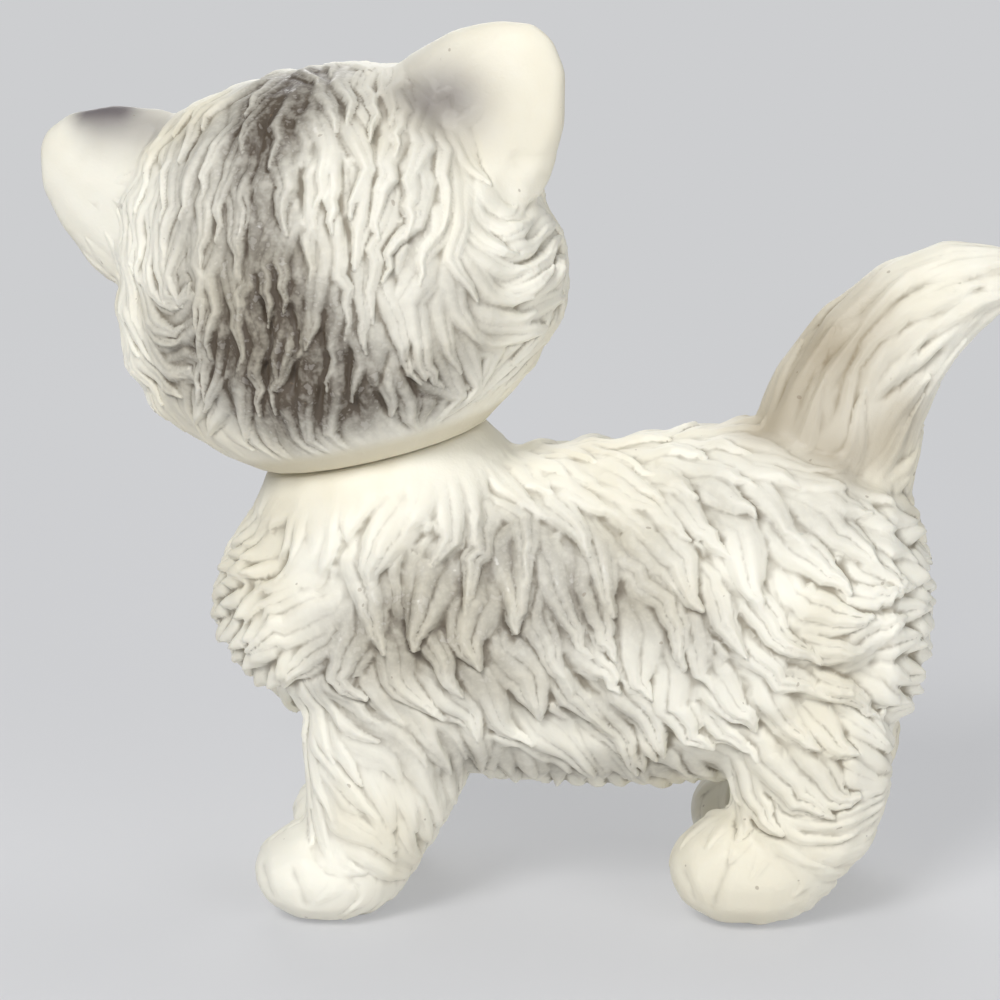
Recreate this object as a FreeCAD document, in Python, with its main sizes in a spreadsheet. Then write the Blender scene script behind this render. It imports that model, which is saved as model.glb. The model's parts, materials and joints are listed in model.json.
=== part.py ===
import FreeCAD, Part
import math
import os

import Sketcher
from FreeCAD import Placement, Rotation, Vector

# A standing kitten figure cast hollow in soft vinyl. The head is a second casting that snaps over
# the neck plug and turns on it, and a small reed squeaker sits in a moulded seat under the belly.
# Millimetres. +Z is up, the floor is Z 0, the kitten faces -X, and its left side is -Y.

doc = FreeCAD.newDocument("kitten_figure")
sheet = doc.addObject("Spreadsheet::Sheet", "sizes")

DRIVING_SIZES = [
    ("WallThick", 2.6, "wall of both castings"),
    ("MiddleShift", 2.8, "middle plane of the body, to the left of the origin"),
    ("TorsoLength", 170.0, "chest to rump"),
    ("TorsoHalfWidth", 39.0, "middle plane to flank"),
    ("TorsoHalfHeight", 38.0, "torso axis to back or belly"),
    ("TorsoAxisHeight", 70.0, "floor to torso axis"),
    ("ChestPlace", 74.0, "origin to the front of the chest"),
    ("NeckForward", 35.4, "origin to the neck seam's centre, towards the chest"),
    ("NeckHeight", 110.9, "floor to the neck seam's centre"),
    ("NeckTilt", 12.8, "lean of the neck axis towards the chest, degrees"),
    ("NeckRadius", 26.3, "neck at the seam"),
    ("NeckDepth", 30.0, "how far the neck form runs down into the torso"),
    ("HeadTurn", 105.0, "how far the stored head looks to its right, degrees"),
    ("SeamGap", 0.3, "running gap round the neck plug"),
    ("PlugRadius", 17.5, "waist of the neck plug"),
    ("LipThick", 3.4, "thickness of the head's snap lip"),
    ("FlangeRadius", 20.5, "snap flange over the lip"),
    ("FlangeThick", 2.4, "straight edge of the snap flange"),
    ("PlugNoseRadius", 16.5, "end of the lead-in cone above the flange"),
    ("PlugNoseHeight", 3.6, "lead-in cone above the flange"),
    ("LegSpread", 19.5, "middle plane to the centre of a leg"),
    ("FrontLegForward", 31.0, "origin to the top of a front leg"),
    ("HindLegBack", 65.5, "origin to the top of a hind leg"),
    ("LegHeight", 68.0, "floor to the top of a leg form"),
    ("FrontStep", 4.5, "right front leg behind the left one"),
    ("HindStep", 6.5, "right hind leg behind the left one"),
    ("LegHalfLength", 20.5, "leg fore and aft, at its widest"),
    ("LegHalfWidth", 17.0, "leg side to side, at its widest"),
    ("FrontPawForward", 45.5, "origin to the middle of a front paw"),
    ("FrontPawHalfLength", 18.0, "front paw"),
    ("FrontPawHeight", 25.0, "floor to the top of a front paw"),
    ("HindPawBack", 55.0, "origin to the middle of a hind paw"),
    ("HindPawHalfLength", 20.0, "hind paw"),
    ("HindPawHeight", 29.0, "floor to the top of a hind paw"),
    ("PawHalfWidth", 15.5, "all paws"),
    ("PawSplay", 12.0, "paws turned outwards, degrees"),
    ("SoleCut", 0.9, "depth of the flat under a paw"),
    ("TailBack", 71.5, "origin to the root of the tail"),
    ("TailRootHeight", 96.0, "floor to the root of the tail"),
    ("TailReach", 44.0, "root to tip, backwards"),
    ("TailRise", 57.5, "root to tip, upwards"),
    ("TailHalfLength", 20.5, "tail fore and aft, at its root"),
    ("TailHalfWidth", 15.0, "tail side to side, at its root"),
    ("TuftPitch", 13.0, "tuft to tuft along the coat"),
    ("TuftRise", 1.3, "how far a tuft stands out of the coat"),
    ("HeadHalfWidth", 54.5, "head at the cheeks"),
    ("HeadHalfDepth", 42.5, "head, to the face or to the nape"),
    ("HeadHeight", 89.5, "neck seam to crown"),
    ("HeadRimRadius", 27.2, "lower rim of the head"),
    ("EarOut", 34.0, "middle of the head to an ear's root"),
    ("EarHeight", 62.0, "neck seam to an ear's root"),
    ("EarLean", 39.0, "ear above level, degrees"),
    ("EarReach", 37.5, "ear root to tip"),
    ("EarHalfWidth", 24.5, "ear at its root"),
    ("EarHalfThick", 12.5, "ear at its root"),
    ("EarBack", 4.0, "neck axis to the middle of an ear, towards the nape"),
    ("EarCupDepth", 6.5, "hollow in the front of an ear"),
    ("MuzzleForward", 34.0, "neck axis to the back of the muzzle"),
    ("MuzzleReach", 15.0, "back of the muzzle to its tip"),
    ("MuzzleHeight", 27.0, "neck seam to the middle of the muzzle"),
    ("MuzzleHalfWidth", 18.0, "muzzle at its back"),
    ("MuzzleHalfHeight", 13.5, "muzzle at its back"),
    ("EyeRadius", 11.0, "moulded eye, side to side and up and down"),
    ("EyeForward", 34.0, "neck axis to the back of an eye"),
    ("EyeReach", 11.0, "back of an eye to its front"),
    ("EyeSpread", 18.0, "middle of the face to an eye"),
    ("EyeHeight", 47.0, "neck seam to an eye"),
    ("SqueakerBack", 14.0, "origin to the squeaker"),
    ("SqueakerRecess", 3.4, "lowest skin of the belly to the face of the squeaker"),
    ("SqueakerRadius", 10.5, "squeaker cup"),
    ("CupFlangeRadius", 12.5, "flange of the cup"),
    ("CupDepth", 7.4, "face to the rim of the cup"),
    ("CupSheet", 0.5, "sheet metal of the cup"),
    ("CupLedge", 1.6, "width of the ledge under the reed plate"),
    ("CupLedgeHeight", 2.6, "face to the top of that ledge"),
    ("VentRadius", 2.0, "air hole of the cup and of the cap"),
    ("ReedThick", 0.4, "reed plate"),
    ("TongueHalfWidth", 1.6, "reed tongue"),
    ("TongueHalfLength", 5.5, "reed tongue"),
    ("TongueSlot", 0.5, "slot round the tongue"),
    ("CapEnd", 1.2, "end wall of the reed cap"),
    ("CapSkirt", 2.6, "skirt of the reed cap"),
    ("CapWall", 1.2, "wall of the cap's skirt"),
    ("FitGap", 0.05, "clearance between the squeaker's own pieces"),
    ("SeatWall", 3.0, "vinyl round the squeaker and above it"),
    ("AirHoleRadius", 1.6, "air hole through the seat"),
    ("Overrun", 20.0, "how far a cut runs past what it cuts"),
]

for row, (alias, value, meaning) in enumerate(DRIVING_SIZES, start=1):
    sheet.set(f"A{row}", meaning)
    sheet.set(f"B{row}", str(value))
    sheet.setAlias(f"B{row}", alias)
doc.recompute()

LARGE_RING = 20
SMALL_RING = 12
# A facet's diagonals count as equal within this share, so a scaled part keeps its facets
TIE_SHARE = 0.999
SIDES = (-1, 1)
X_AXIS = Vector(1, 0, 0)
Y_AXIS = Vector(0, 1, 0)
Z_AXIS = Vector(0, 0, 1)


def size(alias):
    """A driving size, read from the sheet."""
    return float(getattr(sheet, alias))


def total(*terms):
    """A sum of driving sizes, as value and expression. A minus in front takes a size away."""
    value = 0.0
    expression = ""
    for term in terms:
        alias = term.lstrip("-")
        sign = "-" if term.startswith("-") else "+"
        value += size(alias) if sign == "+" else -size(alias)
        expression += f" {sign} sizes.{alias}"
    return value, expression.lstrip(" +")


def ring_points(section, count, inset):
    """Points round an oval that reaches `fore` and `aft` along, and `half_width` across."""
    centre, across, along, fore, aft, half_width = section
    points = []
    for step in range(count):
        angle = 2 * math.pi * step / count
        reach = fore if math.cos(angle) > 0 else aft
        forwards = along * ((reach - inset) * math.cos(angle))
        sideways = across * ((half_width - inset) * math.sin(angle))
        points.append(centre + forwards + sideways)
    return points


def flat_face(points):
    return Part.Face(Part.makePolygon(points + points[:1]))


def faceted_solid(rings):
    """Solid of flat facets through rings that have the same number of points."""
    faces = [flat_face(rings[0]), flat_face(rings[-1])]
    count = len(rings[0])
    for ring, following in zip(rings, rings[1:]):
        for step in range(count):
            after = (step + 1) % count
            a, b = ring[step], ring[after]
            c, d = following[after], following[step]
            if a.distanceToPoint(c) < TIE_SHARE * b.distanceToPoint(d):
                faces += [flat_face([a, b, c]), flat_face([a, c, d])]
            else:
                faces += [flat_face([a, b, d]), flat_face([b, c, d])]
    block = Part.Solid(Part.makeShell(faces))
    return block if block.Volume > 0 else block.reversed()


def faceted_loft(sections, count, inset=0.0):
    """Solid through (centre, across, along, fore, aft, half_width) sections."""
    return faceted_solid([ring_points(section, count, inset) for section in sections])


def tufted_loft(sections, tufted_ways, bare_aft):
    """A form in fur: a ring every half tuft, and tufts standing out like bricks in a wall.

    The tufts lie between two ways along the form, and leave bare what lies further aft on
    each ring than a share of its reach.
    """
    run = sum((b[0] - a[0]).Length for a, b in zip(sections, sections[1:]))
    passed = 0.0
    rings = []
    for section, following in zip(sections, sections[1:]):
        gap = (following[0] - section[0]).Length
        parts = max(1, round(2 * gap / size("TuftPitch")))
        for part in range(parts):
            share = part / parts
            centre, *sizes = [a + (b - a) * share for a, b in zip(section, following)]
            ring = ring_points((centre, *sizes), LARGE_RING, 0)
            way = (passed + gap * share) / run
            if tufted_ways[0] < way < tufted_ways[1]:
                for step in range(LARGE_RING):
                    raised = (len(rings) + step // 2) % 2 == 0
                    aft = -math.cos(2 * math.pi * step / LARGE_RING)
                    if raised and aft < bare_aft:
                        outwards = (ring[step] - centre).normalize()
                        ring[step] = ring[step] + outwards * size("TuftRise")
            rings.append(ring)
        passed += gap
    rings.append(ring_points(sections[-1], LARGE_RING, 0))
    return faceted_solid(rings)


def skin_loft(sections, count=SMALL_RING):
    return faceted_loft(sections, count)


def hollow_loft(sections):
    """The inside of a casting: the same sections, a wall thickness further in."""
    return faceted_loft(sections, SMALL_RING, size("WallThick"))


def form(name, shape, placement=None):
    """A free form, kept in the document under its name."""
    feature = doc.addObject("Part::Feature", name)
    feature.Shape = shape
    if placement is not None:
        feature.Placement = placement
    return feature


def solid(kind, name, placement, **sizes):
    """A primitive whose sizes follow the sheet. Each size is the list of terms of a sum."""
    feature = doc.addObject(kind, name)
    for key, terms in sizes.items():
        feature.setExpression(key, total(*terms)[1])
    feature.Placement = placement
    return feature


def at(frame, x=0.0, y=0.0, z=0.0):
    """A place in a frame, with the frame's own directions."""
    return frame.multiply(Placement(Vector(x, y, z), Rotation()))


def fused(name, pieces):
    feature = doc.addObject("Part::MultiFuse", name)
    feature.Shapes = pieces
    return feature


def cut(name, base, tool):
    feature = doc.addObject("Part::Cut", name)
    feature.Base = base
    feature.Tool = tool
    return feature


figure_frame = Placement(Vector(0, -size("MiddleShift"), 0), Rotation())
neck_frame = figure_frame.multiply(
    Placement(
        Vector(-size("NeckForward"), 0, size("NeckHeight")), Rotation(Y_AXIS, -size("NeckTilt"))
    )
)
head_frame = neck_frame.multiply(Placement(Vector(), Rotation(Z_AXIS, -size("HeadTurn"))))


# Torso

# Way from chest to rump, half width, height above the axis, depth below it
TORSO_SHARES = [
    (0.000, 0.12, 0.10, 0.08),
    (0.012, 0.34, 0.32, 0.20),
    (0.045, 0.60, 0.60, 0.32),
    (0.100, 0.80, 0.80, 0.52),
    (0.180, 0.93, 0.92, 0.79),
    (0.300, 1.00, 1.02, 1.00),
    (0.450, 0.97, 1.06, 1.06),
    (0.600, 0.95, 1.12, 1.08),
    (0.740, 0.99, 1.23, 1.04),
    (0.860, 0.96, 1.15, 0.93),
    (0.935, 0.83, 0.93, 0.80),
    (0.978, 0.58, 0.66, 0.57),
    (1.000, 0.20, 0.24, 0.20),
]


# Where the tufts begin and end along the torso, and how far down they go on it
TORSO_TUFTED_WAYS = (0.03, 0.97)
TORSO_BARE_AFT = 0.98


def torso_sections():
    half_height = size("TorsoHalfHeight")
    sections = []
    for way, width, above, below in TORSO_SHARES:
        place = way * size("TorsoLength") - size("ChestPlace")
        centre = Vector(place, 0, size("TorsoAxisHeight"))
        half_width = width * size("TorsoHalfWidth")
        sections.append(
            (centre, Y_AXIS, Z_AXIS, above * half_height, below * half_height, half_width)
        )
    return sections


# Neck

# Depth below the seam, radius
NECK_SHARES = [(0.00, 1.00), (0.11, 1.08), (0.32, 1.26), (0.62, 1.40), (1.00, 1.30)]


def neck_sections():
    sections = []
    for depth, girth in NECK_SHARES:
        radius = girth * size("NeckRadius")
        centre = Vector(0, 0, -depth * size("NeckDepth"))
        sections.append((centre, Y_AXIS, X_AXIS, radius, radius, radius))
    return sections


# Legs

# Height, shift towards the chest, half length, half width
FRONT_LEG_SHARES = [
    (1.00, 0.00, 0.60, 0.50),
    (0.86, 0.00, 0.94, 0.90),
    (0.66, 0.02, 1.03, 1.00),
    (0.46, 0.08, 0.92, 0.95),
    (0.28, 0.26, 0.76, 0.86),
    (0.12, 0.46, 0.62, 0.72),
]
HIND_LEG_SHARES = [
    (1.00, 0.10, 0.70, 0.45),
    (0.86, 0.04, 1.02, 0.90),
    (0.66, -0.02, 1.02, 1.02),
    (0.46, -0.10, 0.92, 0.98),
    (0.28, 0.00, 0.82, 0.88),
    (0.12, 0.26, 0.60, 0.72),
]


def leg_sections(shares, place, side):
    sections = []
    for height, shift, length, width in shares:
        centre = Vector(
            place - shift * size("LegHalfLength"),
            side * size("LegSpread"),
            height * size("LegHeight"),
        )
        half_length = length * size("LegHalfLength")
        half_width = width * size("LegHalfWidth")
        sections.append((centre, Y_AXIS, X_AXIS, half_length, half_length, half_width))
    return sections


# Paws

# Way from heel to toes, half width, height above the paw's middle, depth below it
PAW_SHARES = [
    (-1.00, 0.22, 0.24, 0.20),
    (-0.86, 0.58, 0.60, 0.56),
    (-0.50, 0.88, 0.90, 0.88),
    (0.00, 1.00, 1.00, 1.00),
    (0.50, 0.90, 0.84, 0.90),
    (0.86, 0.60, 0.50, 0.58),
    (1.00, 0.22, 0.18, 0.20),
]
PAW_MIDDLE_SHARE = 0.46


def paw_sections(half_length, height):
    """A paw along -X on its own middle, its sole a little under the floor for the flat cut."""
    middle = PAW_MIDDLE_SHARE * height
    sections = []
    for way, width, above, below in PAW_SHARES:
        centre = Vector(-way * half_length, 0, middle)
        top = above * (height - middle)
        depth = below * (middle + size("SoleCut"))
        sections.append((centre, Y_AXIS, Z_AXIS, top, depth, width * size("PawHalfWidth")))
    return sections


# Tail

# Way backwards, way upwards, half length, half width
TAIL_SHARES = [
    (0.00, 0.00, 0.98, 1.00),
    (0.02, 0.24, 1.00, 1.00),
    (0.10, 0.45, 0.93, 0.97),
    (0.25, 0.65, 0.82, 0.90),
    (0.46, 0.82, 0.69, 0.78),
    (0.68, 0.92, 0.56, 0.62),
    (0.88, 0.945, 0.38, 0.42),
    (1.00, 0.93, 0.14, 0.16),
]


def tail_sections():
    centres = []
    for back, rise, _, _ in TAIL_SHARES:
        centres.append(
            Vector(
                size("TailBack") + back * size("TailReach"),
                0,
                size("TailRootHeight") + rise * size("TailRise"),
            )
        )
    last = len(centres) - 1
    sections = []
    for index, (_, _, length, width) in enumerate(TAIL_SHARES):
        heading = centres[min(index + 1, last)] - centres[max(index - 1, 0)]
        heading.normalize()
        half_length = length * size("TailHalfLength")
        half_width = width * size("TailHalfWidth")
        sections.append(
            (centres[index], Y_AXIS, Y_AXIS.cross(heading), half_length, half_length, half_width)
        )
    return sections


# Squeaker seat

squeaker_face = size("TorsoAxisHeight") - size("TorsoHalfHeight") + size("SqueakerRecess")
squeaker_frame = at(figure_frame, x=size("SqueakerBack"), z=squeaker_face)


def make_body_shell():
    torso = torso_sections()
    neck = neck_sections()
    tail = tail_sections()
    skins = [
        form("torso_form", tufted_loft(torso, TORSO_TUFTED_WAYS, TORSO_BARE_AFT), figure_frame),
        form("neck_form", skin_loft(neck, LARGE_RING), neck_frame),
        form("tail_form", skin_loft(tail), figure_frame),
    ]
    hollows = [
        form("torso_hollow", hollow_loft(torso[2:-2]), figure_frame),
        form("neck_hollow", hollow_loft(neck[1:]), neck_frame),
        form("tail_hollow", hollow_loft(tail[:-1]), figure_frame),
    ]
    leg_rows = [
        ("front", FRONT_LEG_SHARES, -size("FrontLegForward"), size("FrontStep")),
        ("hind", HIND_LEG_SHARES, size("HindLegBack"), size("HindStep")),
    ]
    paw_rows = {
        "front": (-size("FrontPawForward"), size("FrontPawHalfLength"), size("FrontPawHeight")),
        "hind": (size("HindPawBack"), size("HindPawHalfLength"), size("HindPawHeight")),
    }
    for side in SIDES:
        hand = "left" if side < 0 else "right"
        for name, shares, place, right_step in leg_rows:
            step = 0 if side < 0 else right_step
            leg = leg_sections(shares, place + step, side)
            skins.append(form(f"{name}_{hand}_leg_form", skin_loft(leg), figure_frame))
            hollows.append(form(f"{name}_{hand}_leg_hollow", hollow_loft(leg), figure_frame))
            paw_place, half_length, height = paw_rows[name]
            paw_frame = figure_frame.multiply(
                Placement(
                    Vector(paw_place + step, side * size("LegSpread"), 0),
                    Rotation(Z_AXIS, -side * size("PawSplay")),
                )
            )
            paw = skin_loft(paw_sections(half_length, height))
            skins.append(form(f"{name}_{hand}_paw_form", paw, paw_frame))

    seam_to_lip_top = ("SeamGap", "LipThick", "SeamGap")
    lip_top = total(*seam_to_lip_top)[0]
    skins += [
        solid(
            "Part::Cylinder", "plug_waist", at(neck_frame, z=-size("LipThick")),
            Radius=["PlugRadius"], Height=["LipThick", *seam_to_lip_top],
        ),
        solid(
            "Part::Cylinder", "plug_flange", at(neck_frame, z=lip_top),
            Radius=["FlangeRadius"], Height=["FlangeThick"],
        ),
        solid(
            "Part::Cone", "plug_nose", at(neck_frame, z=lip_top + size("FlangeThick")),
            Radius1=["FlangeRadius"], Radius2=["PlugNoseRadius"], Height=["PlugNoseHeight"],
        ),
    ]
    hollows.append(
        solid(
            "Part::Cylinder", "plug_hollow", at(neck_frame, z=-size("NeckDepth")),
            Radius=["PlugRadius", "-WallThick"], Height=["NeckDepth", "LipThick", "FlangeThick"],
        )
    )

    seat_boss = solid(
        "Part::Cylinder", "seat_boss", at(squeaker_frame, z=-size("Overrun")),
        Radius=["CupFlangeRadius", "SeatWall"], Height=["Overrun", "CupDepth", "SeatWall"],
    )
    inside = cut("casting_hollow", fused("hollows", hollows), seat_boss)
    casting = cut("casting", fused("skins", skins), inside)

    pockets = [
        solid(
            "Part::Cylinder", "flange_pocket", at(squeaker_frame, z=-size("Overrun")),
            Radius=["CupFlangeRadius", "FitGap"], Height=["Overrun", "CupSheet"],
        ),
        solid(
            "Part::Cylinder", "cup_pocket", squeaker_frame,
            Radius=["SqueakerRadius", "FitGap"], Height=["CupDepth", "FitGap"],
        ),
        solid(
            "Part::Cylinder", "seat_air_hole", squeaker_frame,
            Radius=["AirHoleRadius"], Height=["CupDepth", "SeatWall", "Overrun"],
        ),
    ]
    floor_cut = doc.addObject("Part::Box", "floor_cut")
    for key in ("Length", "Width"):
        floor_cut.setExpression(key, "sizes.TorsoLength + 2 * sizes.Overrun")
    floor_cut.setExpression("Height", "sizes.Overrun")
    half_side = size("TorsoLength") / 2 + size("Overrun")
    middle = size("TorsoLength") / 2 - size("ChestPlace")
    floor_cut.Placement = at(figure_frame, x=middle - half_side, y=-half_side, z=-size("Overrun"))
    return cut("body_shell", casting, fused("body_cuts", pockets + [floor_cut]))


# Head

# Height, half width, depth to the face, depth to the nape
HEAD_SHARES = [
    (0.026, 0.550, 0.70, 0.71),
    (0.065, 0.645, 0.79, 0.81),
    (0.130, 0.775, 0.88, 0.90),
    (0.230, 0.915, 0.96, 0.97),
    (0.350, 1.000, 1.00, 1.00),
    (0.500, 0.970, 1.00, 1.00),
    (0.640, 0.910, 0.95, 0.96),
    (0.770, 0.830, 0.83, 0.87),
    (0.880, 0.700, 0.64, 0.70),
    (0.955, 0.510, 0.43, 0.48),
    (0.990, 0.260, 0.21, 0.24),
    (1.000, 0.080, 0.06, 0.07),
]


# The rim and the face stay smooth
HEAD_TUFTED_WAYS = (0.13, 0.92)
HEAD_BARE_AFT = 0.45


def head_sections():
    half_depth = size("HeadHalfDepth")
    rim = size("HeadRimRadius")
    sections = [(Vector(0, 0, size("SeamGap")), Y_AXIS, X_AXIS, rim, rim, rim)]
    for height, width, face, nape in HEAD_SHARES:
        centre = Vector(0, 0, height * size("HeadHeight"))
        half_width = width * size("HeadHalfWidth")
        sections.append(
            (centre, Y_AXIS, X_AXIS, nape * half_depth, face * half_depth, half_width)
        )
    return sections


# Way forwards, half width, height above the middle, depth below it
MUZZLE_SHARES = [
    (0.00, 1.00, 1.00, 1.00),
    (0.45, 0.95, 0.88, 0.94),
    (0.80, 0.72, 0.64, 0.66),
    (1.00, 0.30, 0.30, 0.22),
]
EYE_SHARES = [
    (0.00, 1.00, 1.00, 1.00),
    (0.50, 0.87, 0.87, 0.87),
    (0.82, 0.57, 0.57, 0.57),
    (1.00, 0.12, 0.12, 0.12),
]


def face_sections(shares, back, reach, side_place, height, half_width, half_height):
    """Sections of a form that stands out of the face, along the head's own -X."""
    sections = []
    for way, width, above, below in shares:
        centre = Vector(-back - way * reach, side_place, height)
        sections.append(
            (centre, Y_AXIS, Z_AXIS, above * half_height, below * half_height, width * half_width)
        )
    return sections


# Way from root to tip, half width, half thickness
EAR_SHARES = [
    (0.00, 1.00, 1.00),
    (0.36, 0.88, 0.76),
    (0.66, 0.68, 0.54),
    (0.90, 0.40, 0.32),
    (1.00, 0.14, 0.12),
]
# Way from root to tip, half width, depth
EAR_CUP_SHARES = [(0.42, 0.55, 1.00), (0.60, 0.46, 0.85), (0.78, 0.28, 0.50), (0.90, 0.10, 0.20)]


def ear_sections(side, shares, half_thicknesses, backs):
    """Sections across an ear. `backs` sets each one's middle, towards the nape."""
    lean = math.radians(size("EarLean"))
    outwards = Vector(0, side * math.cos(lean), math.sin(lean))
    widthwise = Vector(0, -side * math.sin(lean), math.cos(lean))
    root = Vector(0, side * size("EarOut"), size("EarHeight"))
    sections = []
    for (way, width, _), half_thick, back in zip(shares, half_thicknesses, backs):
        centre = root + outwards * (way * size("EarReach")) + X_AXIS * back
        half_width = width * size("EarHalfWidth")
        sections.append((centre, widthwise, X_AXIS, half_thick, half_thick, half_width))
    return sections


def make_ear(side):
    """Skin of one ear and the tool for the hollow in its front."""
    hand = "left" if side < 0 else "right"
    thicknesses = [thick * size("EarHalfThick") for _, _, thick in EAR_SHARES]
    backs = [size("EarBack")] * len(EAR_SHARES)
    skin = skin_loft(ear_sections(side, EAR_SHARES, thicknesses, backs))
    cup_depths = [depth * size("EarCupDepth") for _, _, depth in EAR_CUP_SHARES]
    fronts = []
    for way, _, _ in EAR_CUP_SHARES:
        thick = (1 - way) * size("EarHalfThick")
        fronts.append(size("EarBack") - thick)
    cup = skin_loft(ear_sections(side, EAR_CUP_SHARES, cup_depths, fronts))
    return (
        form(f"{hand}_ear_form", skin, head_frame),
        form(f"{hand}_ear_cup", cup, head_frame),
    )


def make_head_shell():
    head = head_sections()
    lip_top = size("SeamGap") + size("LipThick")
    # Over the lip the hollow is as narrow as the section below, so it keeps its wall
    narrow = head[1]
    hollow = [(Vector(0, 0, lip_top), *narrow[1:]), *head[2:-3]]
    skull_hollow = form("skull_hollow", hollow_loft(hollow), head_frame)
    skins = [form("skull_form", tufted_loft(head, HEAD_TUFTED_WAYS, HEAD_BARE_AFT), head_frame)]
    cuts = []
    for side in SIDES:
        hand = "left" if side < 0 else "right"
        skin, cup = make_ear(side)
        skins.append(skin)
        cuts.append(cup)
        eye = face_sections(
            EYE_SHARES, size("EyeForward"), size("EyeReach"), side * size("EyeSpread"),
            size("EyeHeight"), size("EyeRadius"), size("EyeRadius"),
        )
        skins.append(form(f"{hand}_eye_form", skin_loft(eye), head_frame))
    muzzle = face_sections(
        MUZZLE_SHARES, size("MuzzleForward"), size("MuzzleReach"), 0,
        size("MuzzleHeight"), size("MuzzleHalfWidth"), size("MuzzleHalfHeight"),
    )
    skins.append(form("muzzle_form", skin_loft(muzzle), head_frame))
    cuts.append(
        solid(
            "Part::Cylinder", "lip_hole", at(head_frame, z=-size("LipThick")),
            Radius=["PlugRadius", "SeamGap"], Height=["LipThick", "SeamGap", "LipThick", "LipThick"],
        )
    )
    hollowed = cut("hollowed_head", fused("head_skins", skins), skull_hollow)
    return cut("head_shell", hollowed, fused("head_cuts", cuts))


# Squeaker


def new_body(name):
    return doc.addObject("PartDesign::Body", name)


def profile(body, name, role, corners):
    """A closed sketch of straight edges. Each corner is two sums of sizes, or None on an axis."""
    sketch = body.newObject("Sketcher::SketchObject", name)
    plane = next(item for item in body.Origin.OriginFeatures if item.Role == role)
    sketch.AttachmentSupport = [(plane, "")]
    sketch.MapMode = "FlatFace"
    places = []
    for corner in corners:
        places.append([(0.0, None) if terms is None else total(*terms) for terms in corner])
    count = len(places)
    for index, (x, y) in enumerate(places):
        following = places[(index + 1) % count]
        sketch.addGeometry(
            Part.LineSegment(Vector(x[0], y[0], 0), Vector(following[0][0], following[1][0], 0))
        )
    for index in range(count):
        sketch.addConstraint(
            Sketcher.Constraint("Coincident", index, 2, (index + 1) % count, 1)
        )
    for index, place in enumerate(places):
        for kind, axis, (value, expression) in zip(("DistanceX", "DistanceY"), (-2, -1), place):
            if expression is None:
                sketch.addConstraint(Sketcher.Constraint("PointOnObject", index, 1, axis))
                continue
            number = sketch.addConstraint(
                Sketcher.Constraint(kind, -1, 1, index, 1, value)
            )
            sketch.setExpression(f"Constraints[{number}]", expression)
    return sketch


def revolve(body, name, sketch):
    feature = body.newObject("PartDesign::Revolution", name)
    feature.Profile = sketch
    feature.ReferenceAxis = (sketch, ["V_Axis"])
    feature.Angle = 360
    return feature


def make_squeaker_cup():
    """Drawn metal cup, its flanged face downwards, with a ledge inside for the reed plate."""
    body = new_body("squeaker_cup")
    bore = ["SqueakerRadius", "-CupSheet"]
    sketch = profile(
        body, "cup_profile", "XZ_Plane",
        [
            (["VentRadius"], None),
            (["CupFlangeRadius"], None),
            (["CupFlangeRadius"], ["CupSheet"]),
            (["SqueakerRadius"], ["CupSheet"]),
            (["SqueakerRadius"], ["CupDepth"]),
            (bore, ["CupDepth"]),
            (bore, ["CupLedgeHeight"]),
            (bore + ["-CupLedge"], ["CupLedgeHeight"]),
            (bore + ["-CupLedge"], ["CupSheet"]),
            (["VentRadius"], ["CupSheet"]),
        ],
    )
    revolve(body, "cup_turned", sketch)
    body.Placement = squeaker_frame
    return body


def make_squeaker_reed():
    """Reed plate: a disc with a tongue left free on three sides."""
    body = new_body("squeaker_reed")
    radius = ["SqueakerRadius", "-CupSheet", "-FitGap"]
    sketch = profile(
        body, "reed_profile", "XZ_Plane",
        [(None, None), (radius, None), (radius, ["ReedThick"]), (None, ["ReedThick"])],
    )
    revolve(body, "reed_disc", sketch)
    inner = ["TongueHalfWidth"]
    outer = ["TongueHalfWidth", "TongueSlot"]
    end = ["TongueHalfLength"]
    slot_end = ["TongueHalfLength", "TongueSlot"]

    def minus(terms):
        return ["-" + term for term in terms]

    slot = profile(
        body, "tongue_slot", "XY_Plane",
        [
            (outer, minus(end)), (outer, slot_end), (minus(outer), slot_end),
            (minus(outer), minus(end)), (minus(inner), minus(end)), (minus(inner), end),
            (inner, end), (inner, minus(end)),
        ],
    )
    pocket = body.newObject("PartDesign::Pocket", "tongue_cut")
    pocket.Profile = slot
    pocket.Midplane = True
    pocket.setExpression("Length", "2 * sizes.Overrun")
    body.Placement = at(squeaker_frame, z=size("CupLedgeHeight"))
    return body


def make_squeaker_cap():
    """Moulded cap that holds the reed plate down on its ledge."""
    body = new_body("squeaker_cap")
    outside = ["SqueakerRadius", "-CupSheet", "-FitGap"]
    inside = outside + ["-CapWall"]
    top = ["CapSkirt", "CapEnd"]
    sketch = profile(
        body, "cap_profile", "XZ_Plane",
        [
            (inside, None), (outside, None), (outside, top), (["VentRadius"], top),
            (["VentRadius"], ["CapSkirt"]), (inside, ["CapSkirt"]),
        ],
    )
    revolve(body, "cap_turned", sketch)
    body.Placement = at(squeaker_frame, z=size("CupLedgeHeight") + size("ReedThick"))
    return body


SUB_PARTS = [
    make_body_shell(),
    make_head_shell(),
    make_squeaker_cup(),
    make_squeaker_reed(),
    make_squeaker_cap(),
]
for part in SUB_PARTS:
    part.Label = part.Name

doc.recompute()

for item in doc.Objects:
    if "Invalid" in item.State or "Error" in item.State:
        raise RuntimeError(f"{item.Name} failed: {item.State}")
for part in SUB_PARTS:
    if part.Shape.isNull() or not part.Shape.isValid():
        raise RuntimeError(f"{part.Label} has no valid shape")
    if len(part.Shape.Solids) != 1:
        raise RuntimeError(f"{part.Label} is {len(part.Shape.Solids)} solids")

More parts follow.
